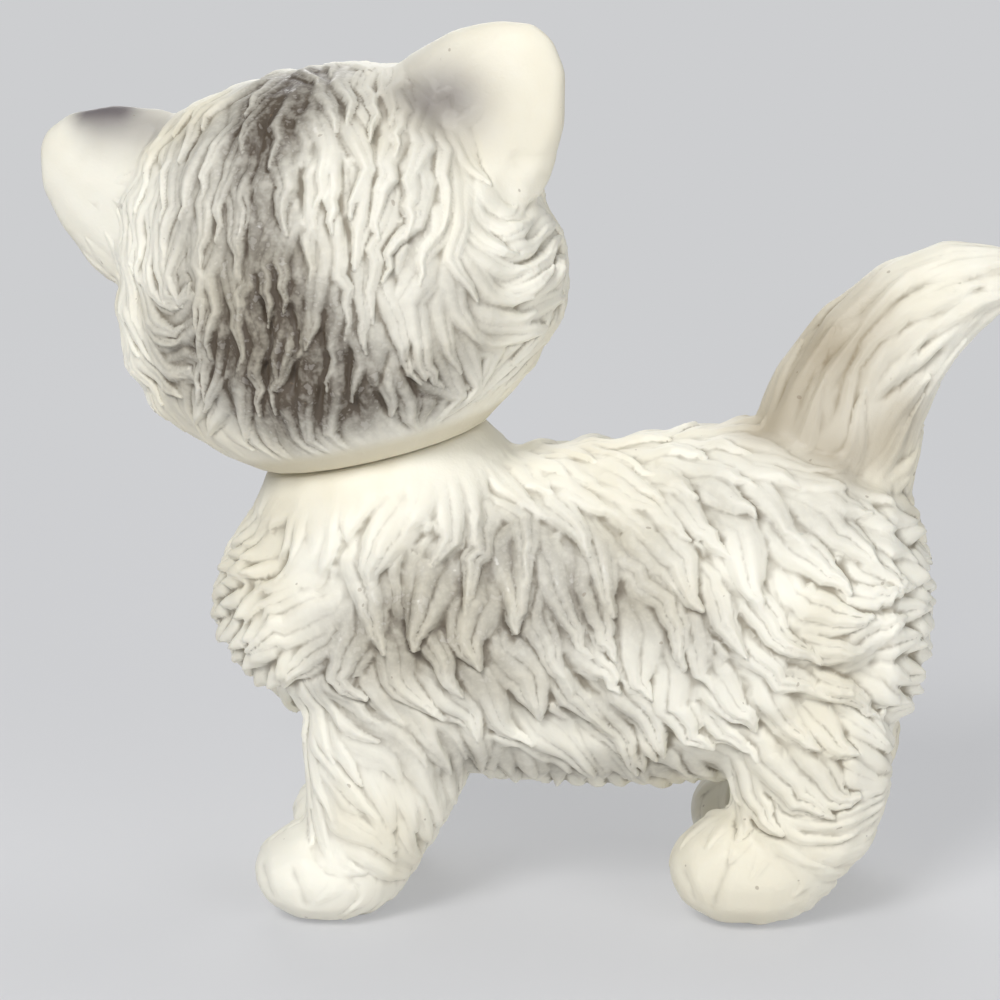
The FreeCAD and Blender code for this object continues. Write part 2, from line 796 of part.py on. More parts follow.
os.makedirs("parts", exist_ok=True)
for part in SUB_PARTS:
    part.Shape.exportStep(f"parts/{part.Label}.step")
    print(part.Label, round(part.Shape.Volume), "cubic millimetres")
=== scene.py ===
import json
import math

import bmesh
import bpy
import numpy as np
from mathutils import Matrix, Vector
from mathutils.bvhtree import BVHTree
from mathutils.kdtree import KDTree


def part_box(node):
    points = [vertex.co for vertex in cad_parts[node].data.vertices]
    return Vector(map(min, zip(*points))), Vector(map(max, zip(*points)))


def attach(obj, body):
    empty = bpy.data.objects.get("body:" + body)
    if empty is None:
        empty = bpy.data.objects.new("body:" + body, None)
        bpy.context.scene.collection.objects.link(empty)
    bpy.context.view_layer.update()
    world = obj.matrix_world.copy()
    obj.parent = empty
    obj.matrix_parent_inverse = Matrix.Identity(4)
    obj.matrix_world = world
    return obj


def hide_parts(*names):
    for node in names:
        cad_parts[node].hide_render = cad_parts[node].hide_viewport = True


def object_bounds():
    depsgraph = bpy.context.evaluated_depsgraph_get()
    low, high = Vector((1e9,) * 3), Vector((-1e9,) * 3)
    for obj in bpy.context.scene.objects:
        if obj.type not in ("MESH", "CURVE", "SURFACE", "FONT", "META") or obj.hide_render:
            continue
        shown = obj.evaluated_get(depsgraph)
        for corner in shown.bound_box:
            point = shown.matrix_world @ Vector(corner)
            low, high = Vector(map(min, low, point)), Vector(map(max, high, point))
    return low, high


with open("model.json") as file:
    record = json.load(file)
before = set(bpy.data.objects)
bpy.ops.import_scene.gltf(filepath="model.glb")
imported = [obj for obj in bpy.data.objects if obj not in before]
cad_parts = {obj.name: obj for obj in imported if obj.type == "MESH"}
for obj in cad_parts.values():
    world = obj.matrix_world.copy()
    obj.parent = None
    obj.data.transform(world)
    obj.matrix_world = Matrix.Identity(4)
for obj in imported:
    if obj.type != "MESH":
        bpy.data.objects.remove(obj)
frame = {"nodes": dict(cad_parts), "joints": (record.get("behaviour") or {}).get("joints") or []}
cad_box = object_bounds()

MM = 0.001
SEED = 7

# Where the castings are, in metres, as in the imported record
HEAD_TURN = math.radians(105)
neck_joint = frame["joints"][0]
NECK_PLACE = Vector(neck_joint["pos_m"])
NECK_AXIS = Vector(neck_joint["axis"]).normalized()
MIDDLE = NECK_PLACE.y
X_AXIS = Vector((1, 0, 0))
Z_AXIS = Vector((0, 0, 1))
squeaker_low, squeaker_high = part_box("squeaker_cup")
SQUEAKER_PLACE = Vector(((squeaker_low.x + squeaker_high.x) / 2, MIDDLE, 0))
# From the neck towards the nape, square to the neck's axis
NAPE = Matrix.Rotation(-HEAD_TURN, 3, NECK_AXIS) @ (X_AXIS - NECK_AXIS * NECK_AXIS.x).normalized()

# Turned shapes, as radius and height in millimetres. The sockets are cut: the squeaker's seat,
# narrow over its flange, and the head's lip with the chamber for the neck's flange over it.
SQUEAKER_SOCKET = [(12.75, 15), (12.75, 36), (11.2, 36), (11.2, 43)]
NECK_SOCKET = [(17.9, -3), (17.9, 3.6), (22.5, 3.6), (22.5, 8), (19, 12)]
# The fillings close the ways into the hollows, so that only the outsides are left as skins
NECK_FILLING = [(16, 4), (16, 7)]
SQUEAKER_FILLING = [(14.5, 30.5), (14.5, 44.5)]
LIP_FILLING = [(18.5, 0.5), (18.5, 3.5)]
TURNED_SIDES = 96

# How fine the skins are: voxel in millimetres and rounds of easing, then thinned to the budget
BODY_GRAIN = ((0.5, 70))
HEAD_GRAIN = ((0.45, 75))
LAST_EASING = 2
TRIANGLE_BUDGET = 190000


# Camera

CAMERA_SPAN = 0.620
CAMERA_RISE = math.radians(12.5)
CAMERA_SWING = math.radians(2.0)
CAMERA_AIM = Vector((-0.006, MIDDLE, 0.097118))
SENSOR = 36.0
PICTURE = 1000
FOCAL_PIXELS = 2604

camera_back = Vector(
    (
        math.sin(CAMERA_SWING) * math.cos(CAMERA_RISE),
        -math.cos(CAMERA_SWING) * math.cos(CAMERA_RISE),
        math.sin(CAMERA_RISE),
    )
)
camera_right = Z_AXIS.cross(camera_back).normalized()
camera_up = camera_back.cross(camera_right)
camera_place = CAMERA_AIM + camera_back * CAMERA_SPAN


def make_camera():
    data = bpy.data.cameras.new("camera")
    data.sensor_width = SENSOR
    data.lens = FOCAL_PIXELS * SENSOR / PICTURE
    data.clip_start = 0.05
    data.clip_end = 20
    camera = bpy.data.objects.new("camera", data)
    turn = Matrix((camera_right, camera_up, camera_back)).transposed().to_4x4()
    camera.matrix_world = Matrix.Translation(camera_place) @ turn
    bpy.context.scene.collection.objects.link(camera)
    bpy.context.scene.camera = camera


def sight(x, y):
    """The camera's line through a point of the picture."""
    half = PICTURE / 2
    line = camera_right * (x - half) - camera_up * (y - half) - camera_back * FOCAL_PIXELS
    return line.normalized()


# Shader maths


class Wire:
    """A shader socket that can be reckoned with."""

    def __init__(self, finish, socket):
        self.finish = finish
        self.socket = socket

    def reckon(self, operation, *others):
        return self.finish.node("ShaderNodeMath", {"operation": operation}, [self, *others])

    def __add__(self, other):
        return self.reckon("ADD", other)

    __radd__ = __add__

    def __sub__(self, other):
        return self.reckon("SUBTRACT", other)

    def __rsub__(self, other):
        return self.finish.node("ShaderNodeMath", {"operation": "SUBTRACT"}, [other, self])

    def __mul__(self, other):
        return self.reckon("MULTIPLY", other)

    def least(self, other):
        return self.reckon("MINIMUM", other)


class Finish:
    """A material and the nodes that make it."""

    def __init__(self, name):
        self.material = bpy.data.materials.new(name)
        self.material.use_nodes = True
        self.tree = self.material.node_tree
        self.shader = self.tree.nodes["Principled BSDF"]

    def node(self, kind, settings=None, values=(), output=0):
        made = self.tree.nodes.new(kind)
        for key, setting in (settings or {}).items():
            if key == "stops":
                ramp = made.color_ramp.elements
                while len(ramp) < len(setting):
                    ramp.new(0.5)
                for stop, (place, colour) in zip(ramp, setting):
                    stop.position = place
                    stop.color = colour
            else:
                setattr(made, key, setting)
        named = values.items() if isinstance(values, dict) else enumerate(values)
        for key, value in named:
            self.feed(made.inputs[key], value)
        return Wire(self, made.outputs[output])

    def feed(self, socket, value):
        if isinstance(value, Wire):
            self.tree.links.new(value.socket, socket)
        else:
            socket.default_value = value

    def set(self, name, value):
        self.feed(self.shader.inputs[name], value)

    def place(self):
        return self.node("ShaderNodeTexCoord", output="Object")

    def painted(self, name):
        return self.node("ShaderNodeAttribute", {"attribute_name": name}, output="Fac")

    def noise(self, scale, detail=2.0, roughness=0.5, place=None):
        return self.node(
            "ShaderNodeTexNoise", None,
            {
                "Vector": place or self.place(), "Scale": scale,
                "Detail": detail, "Roughness": roughness,
            },
        )

    def band(self, value, low, high, out_low=0.0, out_high=1.0):
        """The value's way from low to high, smoothed and held at both ends."""
        return self.node(
            "ShaderNodeMapRange", {"interpolation_type": "SMOOTHSTEP"},
            [value, low, high, out_low, out_high],
        )

    def blend(self, first, second, share, way="MIX"):
        settings = {"data_type": "RGBA", "blend_type": way, "clamp_factor": True}
        return self.node("ShaderNodeMix", settings, {0: share, 6: first, 7: second}, output=2)

    def bump(self, height, distance, strength=1.0, below=None):
        values = {"Height": height, "Distance": distance, "Strength": strength}
        if below is not None:
            values["Normal"] = below
        return self.node("ShaderNodeBump", None, values)


def shade(red, green, blue):
    """A colour as it is read off a screen, made linear."""
    parts = [part / 255 for part in (red, green, blue)]
    linear = [p / 12.92 if p <= 0.04045 else ((p + 0.055) / 1.055) ** 2.4 for p in parts]
    return (*linear, 1.0)


# Skins: the castings' outsides, fine enough to carve


def vertex_places(mesh):
    places = np.empty(len(mesh.vertices) * 3, np.float32)
    mesh.vertices.foreach_get("co", places)
    return places.reshape(-1, 3).astype(np.float64)


def set_places(mesh, places):
    mesh.vertices.foreach_set("co", places.astype(np.float32).ravel())
    mesh.update()


def vertex_normals(mesh):
    normals = np.empty(len(mesh.vertices) * 3, np.float32)
    mesh.vertex_normals.foreach_get("vector", normals)
    return normals.reshape(-1, 3).astype(np.float64)


def new_piece(name, mesh):
    piece = bpy.data.objects.new(name, mesh)
    bpy.context.scene.collection.objects.link(piece)
    return piece


def baked(piece, name):
    """The piece's mesh with its modifiers applied."""
    evaluated = piece.evaluated_get(bpy.context.evaluated_depsgraph_get())
    mesh = bpy.data.meshes.new_from_object(evaluated)
    mesh.name = name
    return mesh


def without_specks(mesh, fewest=50):
    """Takes islands of fewer faces off a mesh, such as thinning and cutting leave behind."""
    solid = bmesh.new()
    solid.from_mesh(mesh)
    bmesh.ops.remove_doubles(solid, verts=solid.verts, dist=0.0002 * MM)
    bmesh.ops.triangulate(solid, faces=solid.faces)
    left = set(solid.faces)
    specks = []
    while left:
        island = [left.pop()]
        for face in island:
            for edge in face.edges:
                if len(edge.link_faces) != 2:
                    continue
                for other in edge.link_faces:
                    if other in left:
                        left.remove(other)
                        island.append(other)
        if len(island) < fewest:
            specks.extend(island)
    bmesh.ops.delete(solid, geom=specks, context="FACES")
    solid.to_mesh(mesh)
    solid.free()
    return mesh


def eased(values, pairs, rounds):
    """Values on the vertices, each moved halfway to its neighbours' mean, again and again."""
    count = len(values)
    ends = np.concatenate([pairs[:, 0], pairs[:, 1]])
    others = np.concatenate([pairs[:, 1], pairs[:, 0]])
    neighbours = np.maximum(np.bincount(ends, minlength=count), 1)
    values = values.copy()
    for _ in range(rounds):
        for axis in range(values.shape[1]):
            total = np.bincount(ends, values[others, axis], minlength=count)
            values[:, axis] += 0.5 * (total / neighbours - values[:, axis])
    return values


def turned_solid(build, place, axis, outline):
    """Adds a closed turned solid: (radius, height) pairs in millimetres about an axis."""
    turn = axis.to_track_quat("Z", "Y").to_matrix()
    rings = []
    for radius, height in outline:
        ring = []
        for step in range(TURNED_SIDES):
            angle = 2 * math.pi * step / TURNED_SIDES
            corner = Vector((radius * math.cos(angle), radius * math.sin(angle), height))
            ring.append(build.verts.new(place + turn @ corner * MM))
        rings.append(ring)
    faces = [build.faces.new(rings[0]), build.faces.new(rings[-1])]
    for ring, following in zip(rings, rings[1:]):
        for step in range(TURNED_SIDES):
            after = (step + 1) % TURNED_SIDES
            faces.append(
                build.faces.new([ring[step], ring[after], following[after], following[step]])
            )
    bmesh.ops.recalc_face_normals(build, faces=faces)


def outermost(piece):
    """Parts a piece into its islands and keeps the largest."""
    for other in bpy.context.selected_objects:
        other.select_set(False)
    bpy.context.view_layer.objects.active = piece
    piece.select_set(True)
    bpy.ops.object.mode_set(mode="EDIT")
    bpy.ops.mesh.select_all(action="SELECT")
    bpy.ops.mesh.separate(type="LOOSE")
    bpy.ops.object.mode_set(mode="OBJECT")
    islands = list(bpy.context.selected_objects)
    islands.sort(key=lambda island: island.dimensions.length, reverse=True)
    for island in islands[1:]:
        bpy.data.objects.remove(island)
    islands[0].select_set(False)
    return islands[0]


def casting_skin(node, fillings, grain):
    """The closed outside of a casting: facets eased away, the hollow inside left out."""
    voxel, ease = grain
    shell = bmesh.new()
    shell.from_mesh(frame["nodes"][node].data)
    bmesh.ops.remove_doubles(shell, verts=shell.verts, dist=0.001 * MM)
    for filling in fillings:
        turned_solid(shell, *filling)
    mesh = bpy.data.meshes.new(node)
    shell.to_mesh(mesh)
    shell.free()
    piece = new_piece(node + "_skin", mesh)
    remesh = piece.modifiers.new("voxels", "REMESH")
    remesh.mode = "VOXEL"
    remesh.voxel_size = voxel * MM
    mesh = baked(piece, node)
    piece.modifiers.clear()
    piece.data = mesh
    skin = outermost(piece)
    skin.name = node + "_skin"

    mesh = skin.data
    pairs = np.empty(len(mesh.edges) * 2, np.int32)
    mesh.edges.foreach_get("vertices", pairs)
    pairs = pairs.reshape(-1, 2)
    rough = vertex_places(mesh)
    smooth = eased(rough, pairs, ease)
    set_places(mesh, smooth)
    normals = vertex_normals(mesh)
    lost = np.einsum("ij,ij->i", rough - smooth, normals)[:, None]
    lost = eased(lost, pairs, ease)
    set_places(mesh, smooth + normals * lost)
    return skin, pairs


# Fur

# Length, half width and height in millimetres, then waves, and ridges within a lock
LOCK_KINDS = {
    "bare": (12.0, 2.4, 0.0, 0.0, 1),
    "chest": (17.0, 2.4, 1.1, 0.4, 1),
    "knob": (13.0, 3.8, 4.6, 0.2, 1),
    "tuft": (30.0, 6.2, 3.8, 0.6, 3),
    "coat": (32.0, 6.2, 3.6, 0.8, 3),
    "back": (25.0, 4.0, 2.1, 0.7, 2),
    "belly": (13.0, 2.8, 2.4, 0.5, 1),
    "leg": (23.0, 3.2, 1.8, 0.7, 2),
    "plume": (46.0, 4.6, 1.4, 0.2, 2),
    "wrap": (26.0, 1.9, 1.3, 0.3, 1),
    "long": (38.0, 3.6, 2.6, 0.9, 2),
    "cheek": (28.0, 3.2, 2.4, 0.3, 2),
    "short": (9.0, 1.6, 0.5, 0.4, 1),
}
# Where the flow asks for lower locks than this, in millimetres, none is laid
LOWEST_LOCK = 0.6
LOCK_TRIES = 30000
# How close locks stand: shares of their length and of their half width
CROWD_ALONG = 0.42
CROWD_ACROSS = 1.25
# How far it is from one wave of the coat to the next, and how much a wave bends a lock
WAVE = 26 * MM
BEND = 0.45
TRACE_STEPS = 6
# Strokes further apart than this, seen past an edge, don't belong together
LONGEST_RUN = 60 * MM
# Nearer than this, strokes count alike in the flow
FLOW_BLUR = 2.5 * MM
# How far the tips lean out, and how deep the valleys go, as shares of a lock's height
LEAN_SHARE = 0.35
VALLEY_SHARE = 0.62
VALLEY_ROUNDS = 6
# Painted shade and grime in the hollows: how wide they are reckoned, and how deep is full painted
# shade and grime
HOLLOW_ROUNDS = 40
HOLLOW_DEPTH = 1.2 * MM
# Millimetres where the fur starts and over which it comes in: from the neck's middle, over the
# seam, and up the ears, where it ends
COLLAR_BARE, COLLAR_FADE = 29, 6
RIM_BARE, RIM_FADE = 4.5, 5
EAR_FURRED, EAR_FADE = 18, 5
# An ear's root: millimetres aside from the neck and over the seam, and how far it leans out
EAR_ASIDE = 34
EAR_RISE = 62
EAR_LEAN = math.radians(39)
# An eye's middle, and where the face's front begins, from the neck's middle in millimetres
EYE_ASIDE = 18
EYE_RISE = 47
EYE_FRONT = 45
FACE_FRONT = 30
# Skins are eased back where they come nearer than the first to the castings' box, and keep the
# second from it
BOX_EASE = 2.0 * MM
BOX_GAP = 0.15 * MM

# The strokes of the coat: kind of lock, then for each stroke the points of the
# picture, in pixels from its upper left corner, as x and y by turns
BODY_STROKES = [
    ("bare",
        (270, 480, 262, 500), (310, 485, 308, 512), (350, 485, 345, 512), (395, 478, 388, 502),
        (440, 462, 442, 485), (482, 440, 492, 455)),
    ("chest",
        (275, 515, 258, 540), (300, 520, 290, 555, 275, 575),
        (330, 525, 325, 560, 300, 585, 272, 592)),
    ("knob",
        (262, 540, 240, 548), (262, 560, 238, 567), (250, 585, 222, 598), (262, 600, 240, 618),
        (270, 625, 250, 640), (280, 650, 262, 668), (265, 575, 235, 580), (290, 660, 275, 682)),
    ("tuft",
        (335, 590, 325, 620, 300, 638, 278, 640), (345, 620, 335, 645, 318, 655),
        (310, 610, 290, 612, 270, 612)),
    ("coat",
        (350, 590, 372, 625), (375, 500, 358, 530, 352, 565), (400, 490, 385, 520, 372, 555),
        (420, 505, 400, 545, 385, 590), (440, 520, 425, 560, 395, 600),
        (430, 580, 410, 605, 400, 635), (350, 600, 365, 630, 375, 665),
        (385, 610, 400, 645, 425, 680, 445, 700), (405, 640, 420, 680, 450, 715),
        (430, 610, 435, 650, 450, 690), (455, 500, 448, 530, 438, 560),
        (470, 520, 460, 550, 455, 590), (495, 545, 478, 570, 470, 600),
        (480, 590, 474, 630, 488, 670, 520, 690), (505, 580, 503, 620, 520, 650),
        (530, 560, 520, 600, 528, 640), (545, 520, 552, 560, 560, 595),
        (550, 600, 552, 635, 565, 660, 595, 668), (575, 545, 570, 580),
        (580, 590, 600, 635, 625, 658), (595, 525, 620, 552, 660, 585, 690, 615),
        (640, 520, 658, 550, 680, 578), (600, 590, 602, 620), (625, 600, 630, 650),
        (650, 600, 655, 650), (670, 610, 668, 660, 672, 690), (690, 590, 712, 630, 735, 665)),
    ("back",
        (515, 455, 545, 478, 575, 492), (470, 455, 500, 480, 530, 505),
        (580, 470, 610, 495, 640, 510), (620, 470, 655, 490, 690, 515),
        (660, 465, 700, 485, 740, 500), (700, 455, 750, 475, 800, 490),
        (740, 455, 790, 478, 830, 495)),
    ("coat",
        (690, 500, 720, 530, 740, 560), (740, 510, 765, 540, 785, 575),
        (790, 520, 815, 555, 845, 588), (830, 510, 860, 545, 885, 575)),
    ("back", (830, 500, 860, 508, 885, 518), (845, 535, 880, 550, 900, 560)),
    ("tuft",
        (770, 585, 785, 615, 820, 635, 860, 630, 895, 600),
        (775, 610, 800, 640, 840, 648, 880, 635), (790, 650, 830, 672, 870, 655, 900, 630)),
    ("coat",
        (720, 590, 735, 625, 745, 655), (750, 640, 765, 670, 795, 683),
        (700, 650, 712, 680, 735, 695), (650, 690, 662, 725, 690, 745),
        (610, 660, 615, 690, 640, 705), (560, 640, 575, 680, 600, 710),
        (520, 650, 540, 690, 570, 720), (530, 690, 545, 720, 560, 745),
        (590, 700, 605, 735, 625, 755), (470, 700, 500, 730, 530, 750)),
    ("belly", (640, 740, 660, 760, 690, 775)),
    ("coat", (690, 710, 705, 735, 735, 745)),
    ("tuft",
        (770, 700, 778, 735, 800, 750), (810, 705, 830, 735, 855, 748),
        (860, 690, 880, 710, 905, 715)),
    ("coat", (740, 755, 755, 785, 770, 805), (790, 760, 810, 785, 830, 798)),
    ("wrap", (850, 750, 870, 765, 890, 768)),
    ("belly",
        (500, 758, 505, 772), (560, 760, 565, 774), (620, 760, 625, 774), (680, 762, 688, 776)),
    ("knob",
        (895, 500, 912, 505), (900, 530, 920, 535), (905, 555, 928, 562), (905, 580, 928, 592),
        (900, 605, 926, 612), (900, 640, 922, 642), (895, 665, 918, 672), (885, 700, 905, 702)),
    ("wrap",
        (765, 800, 800, 818, 850, 815, 882, 795), (775, 825, 815, 840, 860, 828, 880, 812),
        (800, 850, 840, 858, 872, 835), (830, 870, 850, 868, 864, 855)),
    ("leg",
        (310, 690, 318, 712, 330, 735), (330, 700, 360, 735, 400, 750),
        (350, 690, 380, 715, 400, 722), (400, 735, 435, 760, 452, 782),
        (315, 740, 335, 775, 355, 805), (345, 760, 370, 800, 390, 830),
        (385, 775, 415, 805, 430, 822), (320, 790, 340, 820, 375, 845),
        (325, 830, 345, 855, 365, 866), (380, 845, 400, 860), (440, 730, 458, 750)),
    ("bare",
        (285, 845, 272, 865), (300, 890, 290, 900), (340, 900, 330, 905), (310, 850, 300, 865),
        (700, 840, 688, 860), (740, 890, 730, 900), (790, 885, 780, 895), (735, 840, 725, 860),
        (760, 860, 750, 875), (700, 880, 695, 890)),
    ("plume",
        (775, 415, 800, 370, 835, 310, 865, 282), (800, 430, 815, 390, 850, 335, 890, 285),
        (835, 435, 845, 395, 870, 345, 920, 295), (860, 440, 870, 395, 895, 350, 940, 310),
        (890, 415, 905, 385, 930, 350, 960, 320), (905, 275, 945, 262, 985, 258),
        (940, 300, 970, 288, 990, 284)),
    ("back", (905, 430, 915, 405), (870, 460, 890, 440)),
]

# Grooves: half width and depth in millimetres, then the points of the picture
TAIL_GROOVES = [
    (2.4, 0.8, (766, 425, 790, 372, 828, 310, 862, 280)),
    (2.8, 1, (788, 432, 800, 395, 820, 365, 850, 335, 870, 312)),
    (3.2, 1.6, (822, 440, 835, 410, 843, 380, 860, 340, 895, 300, 925, 283, 985, 270)),
    (3, 1.4, (848, 435, 855, 400, 860, 370, 880, 345, 910, 325, 955, 308)),
    (2.8, 1.3, (868, 410, 905, 385, 935, 362, 950, 345)),
    (2.4, 1, (895, 368, 935, 340, 970, 318)),
    (2.4, 0.9, (905, 428, 920, 400, 930, 380)),
    (2.2, 0.8, (945, 296, 968, 289, 990, 288)),
]
TOE_GROOVES = [
    (3, 0.6, (262, 858, 266, 880, 278, 902)),
    (3, 0.7, (290, 862, 300, 888, 308, 911)),
    (3, 0.6, (681, 862, 690, 886, 698, 905)),
    (3.2, 0.8, (735, 850, 722, 880, 712, 914)),
]

HEAD_GROOVES = [
    (2.1, 1.7, (258, 292, 268, 340, 262, 390)),
    (2.3, 2, (288, 300, 298, 345, 288, 398)),
    (2.2, 1.9, (318, 318, 328, 362, 316, 412)),
    (2, 1.7, (350, 338, 348, 382, 362, 424)),
    (2, 1.5, (390, 348, 378, 388, 392, 428)),
    (1.8, 1.3, (414, 330, 405, 368, 420, 402)),
    (1.8, 1.2, (228, 330, 222, 370, 232, 410)),
    (1.6, 1.1, (242, 190, 244, 245, 236, 300)),
    (1.6, 1.1, (306, 140, 300, 195, 312, 255)),
    (1.6, 1.1, (344, 150, 340, 200, 354, 250)),
    (1.5, 1, (270, 110, 256, 160, 250, 205)),
    (1.5, 1, (380, 120, 376, 175, 368, 225)),
]

HEAD_STROKES = [
    ("long",
        (172, 108, 150, 160, 142, 220, 140, 280), (205, 100, 165, 150, 150, 200, 150, 262),
        (240, 90, 200, 130, 188, 180, 180, 230, 172, 285),
        (262, 88, 230, 130, 212, 190, 215, 240, 205, 300, 198, 335),
        (278, 90, 262, 140, 250, 190, 255, 250, 250, 310, 255, 380),
        (286, 95, 275, 170, 270, 230, 268, 300, 275, 360, 270, 415),
        (300, 80, 325, 120, 322, 170, 312, 210, 325, 250, 345, 300),
        (345, 300, 350, 340, 340, 380, 350, 420),
        (300, 110, 295, 160, 285, 220, 290, 280, 300, 330, 290, 385),
        (345, 72, 355, 120, 360, 170, 350, 215, 355, 260, 375, 300),
        (375, 300, 372, 350, 385, 400, 392, 430),
        (372, 70, 375, 130, 370, 180, 365, 230, 390, 280, 395, 330, 388, 375),
        (400, 72, 395, 130, 390, 190, 385, 240, 378, 280),
        (418, 95, 415, 150, 405, 200, 385, 268), (430, 130, 438, 170, 446, 198),
        (445, 200, 420, 230, 390, 265),
        (450, 222, 430, 270, 410, 320, 408, 360, 428, 388, 448, 400),
        (440, 240, 425, 300, 415, 350)),
    ("cheek",
        (470, 238, 490, 260, 520, 262, 545, 238),
        (465, 258, 485, 290, 515, 300, 545, 275, 560, 248),
        (458, 272, 470, 310, 500, 325, 540, 300, 562, 272),
        (460, 300, 475, 335, 505, 340, 540, 320, 560, 300),
        (558, 310, 530, 345, 490, 380, 455, 405), (540, 350, 510, 375, 480, 400, 450, 420),
        (460, 330, 465, 360, 480, 380), (145, 290, 160, 315, 182, 305, 190, 280),
        (140, 308, 150, 335, 175, 342, 190, 320), (140, 325, 152, 355, 175, 362, 190, 338),
        (145, 355, 165, 380, 190, 375), (205, 330, 200, 370, 190, 400),
        (225, 380, 215, 410, 205, 425)),
    ("bare",
        (230, 440, 245, 450), (300, 452, 310, 460), (370, 448, 380, 456), (430, 430, 440, 440),
        (470, 410, 480, 418), (180, 415, 190, 425), (80, 160, 70, 180), (110, 230, 100, 210),
        (100, 130, 90, 150), (120, 180, 110, 180), (60, 150, 55, 170), (500, 60, 510, 50),
        (530, 120, 540, 110), (500, 180, 510, 190), (480, 120, 490, 110), (520, 215, 530, 205),
        (450, 90, 460, 80), (545, 60, 550, 70)),
]
# On the front of the face: to one side, and over the seam, in millimetres
MOUTH_LINES = [
    ((0, 31), (0, 23.5), (3, 21), (6, 20.6), (9, 22.5)),
    ((0, 23.5), (-3, 21), (-6, 20.6), (-9, 22.5)),
]
# Strokes round the face: turn from the nape in degrees and height over the seam in
# millimetres, by turns
FACE_STROKES = [
    ("short",
        (180, 80, 180, 66), (165, 78, 160, 64), (195, 78, 200, 64), (150, 72, 142, 60),
        (210, 72, 218, 60), (150, 40, 138, 36), (210, 40, 222, 36), (180, 62, 180, 66)),
    ("cheek",
        (130, 44, 112, 34, 98, 26), (230, 44, 248, 34, 262, 26), (138, 26, 120, 20, 105, 16),
        (222, 26, 240, 20, 255, 16), (112, 56, 104, 40), (248, 56, 256, 40), (155, 12, 140, 9),
        (205, 12, 220, 9)),
    ("bare",
        (165, 48, 163, 46), (195, 48, 197, 46), (180, 28, 180, 26), (168, 26, 166, 24),
        (192, 26, 194, 24), (180, 48, 180, 44), (180, 8, 180, 6), (165, 5, 160, 5),
        (195, 5, 200, 5), (120, 4, 118, 4), (240, 4, 242, 4)),
]


def paired(numbers):
    return list(zip(numbers[::2], numbers[1::2]))


class Ground:
    """A skin that strokes are laid on, with its vertices sorted into cells."""

    CELL = 3 * MM
    MOST_CELLS = 1024

    def __init__(self, skin):
        self.mesh = skin.data
        self.tree = BVHTree.FromObject(skin, bpy.context.evaluated_depsgraph_get())
        self.places = vertex_places(self.mesh)
        self.normals = vertex_normals(self.mesh)
        self.low = self.places.min(axis=0) - self.CELL
        keys = self.keys(self.cells(self.places))
        self.order = np.argsort(keys, kind="stable")
        self.sorted_keys = keys[self.order]

    def cells(self, places):
        return np.floor((places - self.low) / self.CELL).astype(np.int64)

    def keys(self, cells):
        return (cells[..., 0] * self.MOST_CELLS + cells[..., 1]) * self.MOST_CELLS + cells[..., 2]

    def near(self, points, reach):
        """The vertices in the cells round a few points."""
        first = self.cells(points.min(axis=0) - reach)
        last = self.cells(points.max(axis=0) + reach)
        xs, ys = np.meshgrid(
            np.arange(first[0], last[0] + 1), np.arange(first[1], last[1] + 1), indexing="ij"
        )
        rows = np.stack([xs.ravel(), ys.ravel(), np.full(xs.size, first[2])], axis=1)
        starts = np.searchsorted(self.sorted_keys, self.keys(rows))
        ends = np.searchsorted(self.sorted_keys, self.keys(rows) + last[2] - first[2], "right")
        chunks = [self.order[a:b] for a, b in zip(starts, ends) if b > a]
        return np.concatenate(chunks) if chunks else np.empty(0, np.int64)

    def seen(self, x, y):
        """Where the camera sees the skin at a point of the picture."""
        hit = self.tree.ray_cast(camera_place, sight(x, y))[0]
        return None if hit is None else np.array(hit)

    def all_seen(self, numbers):
        """The same for a row of points, given as x and y by turns."""
        hits = [self.seen(x, y) for x, y in paired(numbers)]
        return [hit for hit in hits if hit is not None]

    def settle(self, point):
        """The nearest place on the skin, and the skin's direction there."""
        place, normal, _, _ = self.tree.find_nearest(Vector(point))
        return np.array(place), np.array(normal)


def head_point(ground, turn, height):
    """A place round the head: degrees from the nape, and millimetres over the seam."""
    outwards = Matrix.Rotation(math.radians(turn), 3, NECK_AXIS) @ NAPE
    well_outside = 100 * MM
    start = NECK_PLACE + NECK_AXIS * (height * MM) + outwards * well_outside
    hit = ground.tree.ray_cast(start, -outwards)[0]
    return None if hit is None else np.array(hit)


def face_place(forwards, aside, height):
    """A place on the head: towards the face, to one side, and over the seam, in millimetres."""
    side = NECK_AXIS.cross(NAPE)
    place = NECK_PLACE + (NECK_AXIS * height + side * aside - NAPE * forwards) * MM
    return np.array(place)


def on_face(places):
    """How far places lie ahead, to one side and over the seam, in millimetres."""
    middle = face_place(0, 0, 0)
    away = (places - middle) / MM ** 2
    return [away @ (face_place(*way) - middle) for way in ((1, 0, 0), (0, 1, 0), (0, 0, 1))]


def pair_of_spots(forwards, aside, height, radius, edge, shift=0):
    """Two round spots, one on each side of the face, both moved aside by the shift."""
    return [
        (face_place(forwards, side * aside + shift, height), radius, edge) for side in (-1, 1)
    ]


def spotted(places, spots):
    """How far each place lies inside round spots with soft edges."""
    amount = np.zeros(len(places))
    for middle, radius, edge in spots:
        gap = np.sqrt(((places - middle) ** 2).sum(axis=1)) / MM
        amount = np.maximum(amount, np.clip((radius - gap) / edge + 0.5, 0, 1))
    return amount


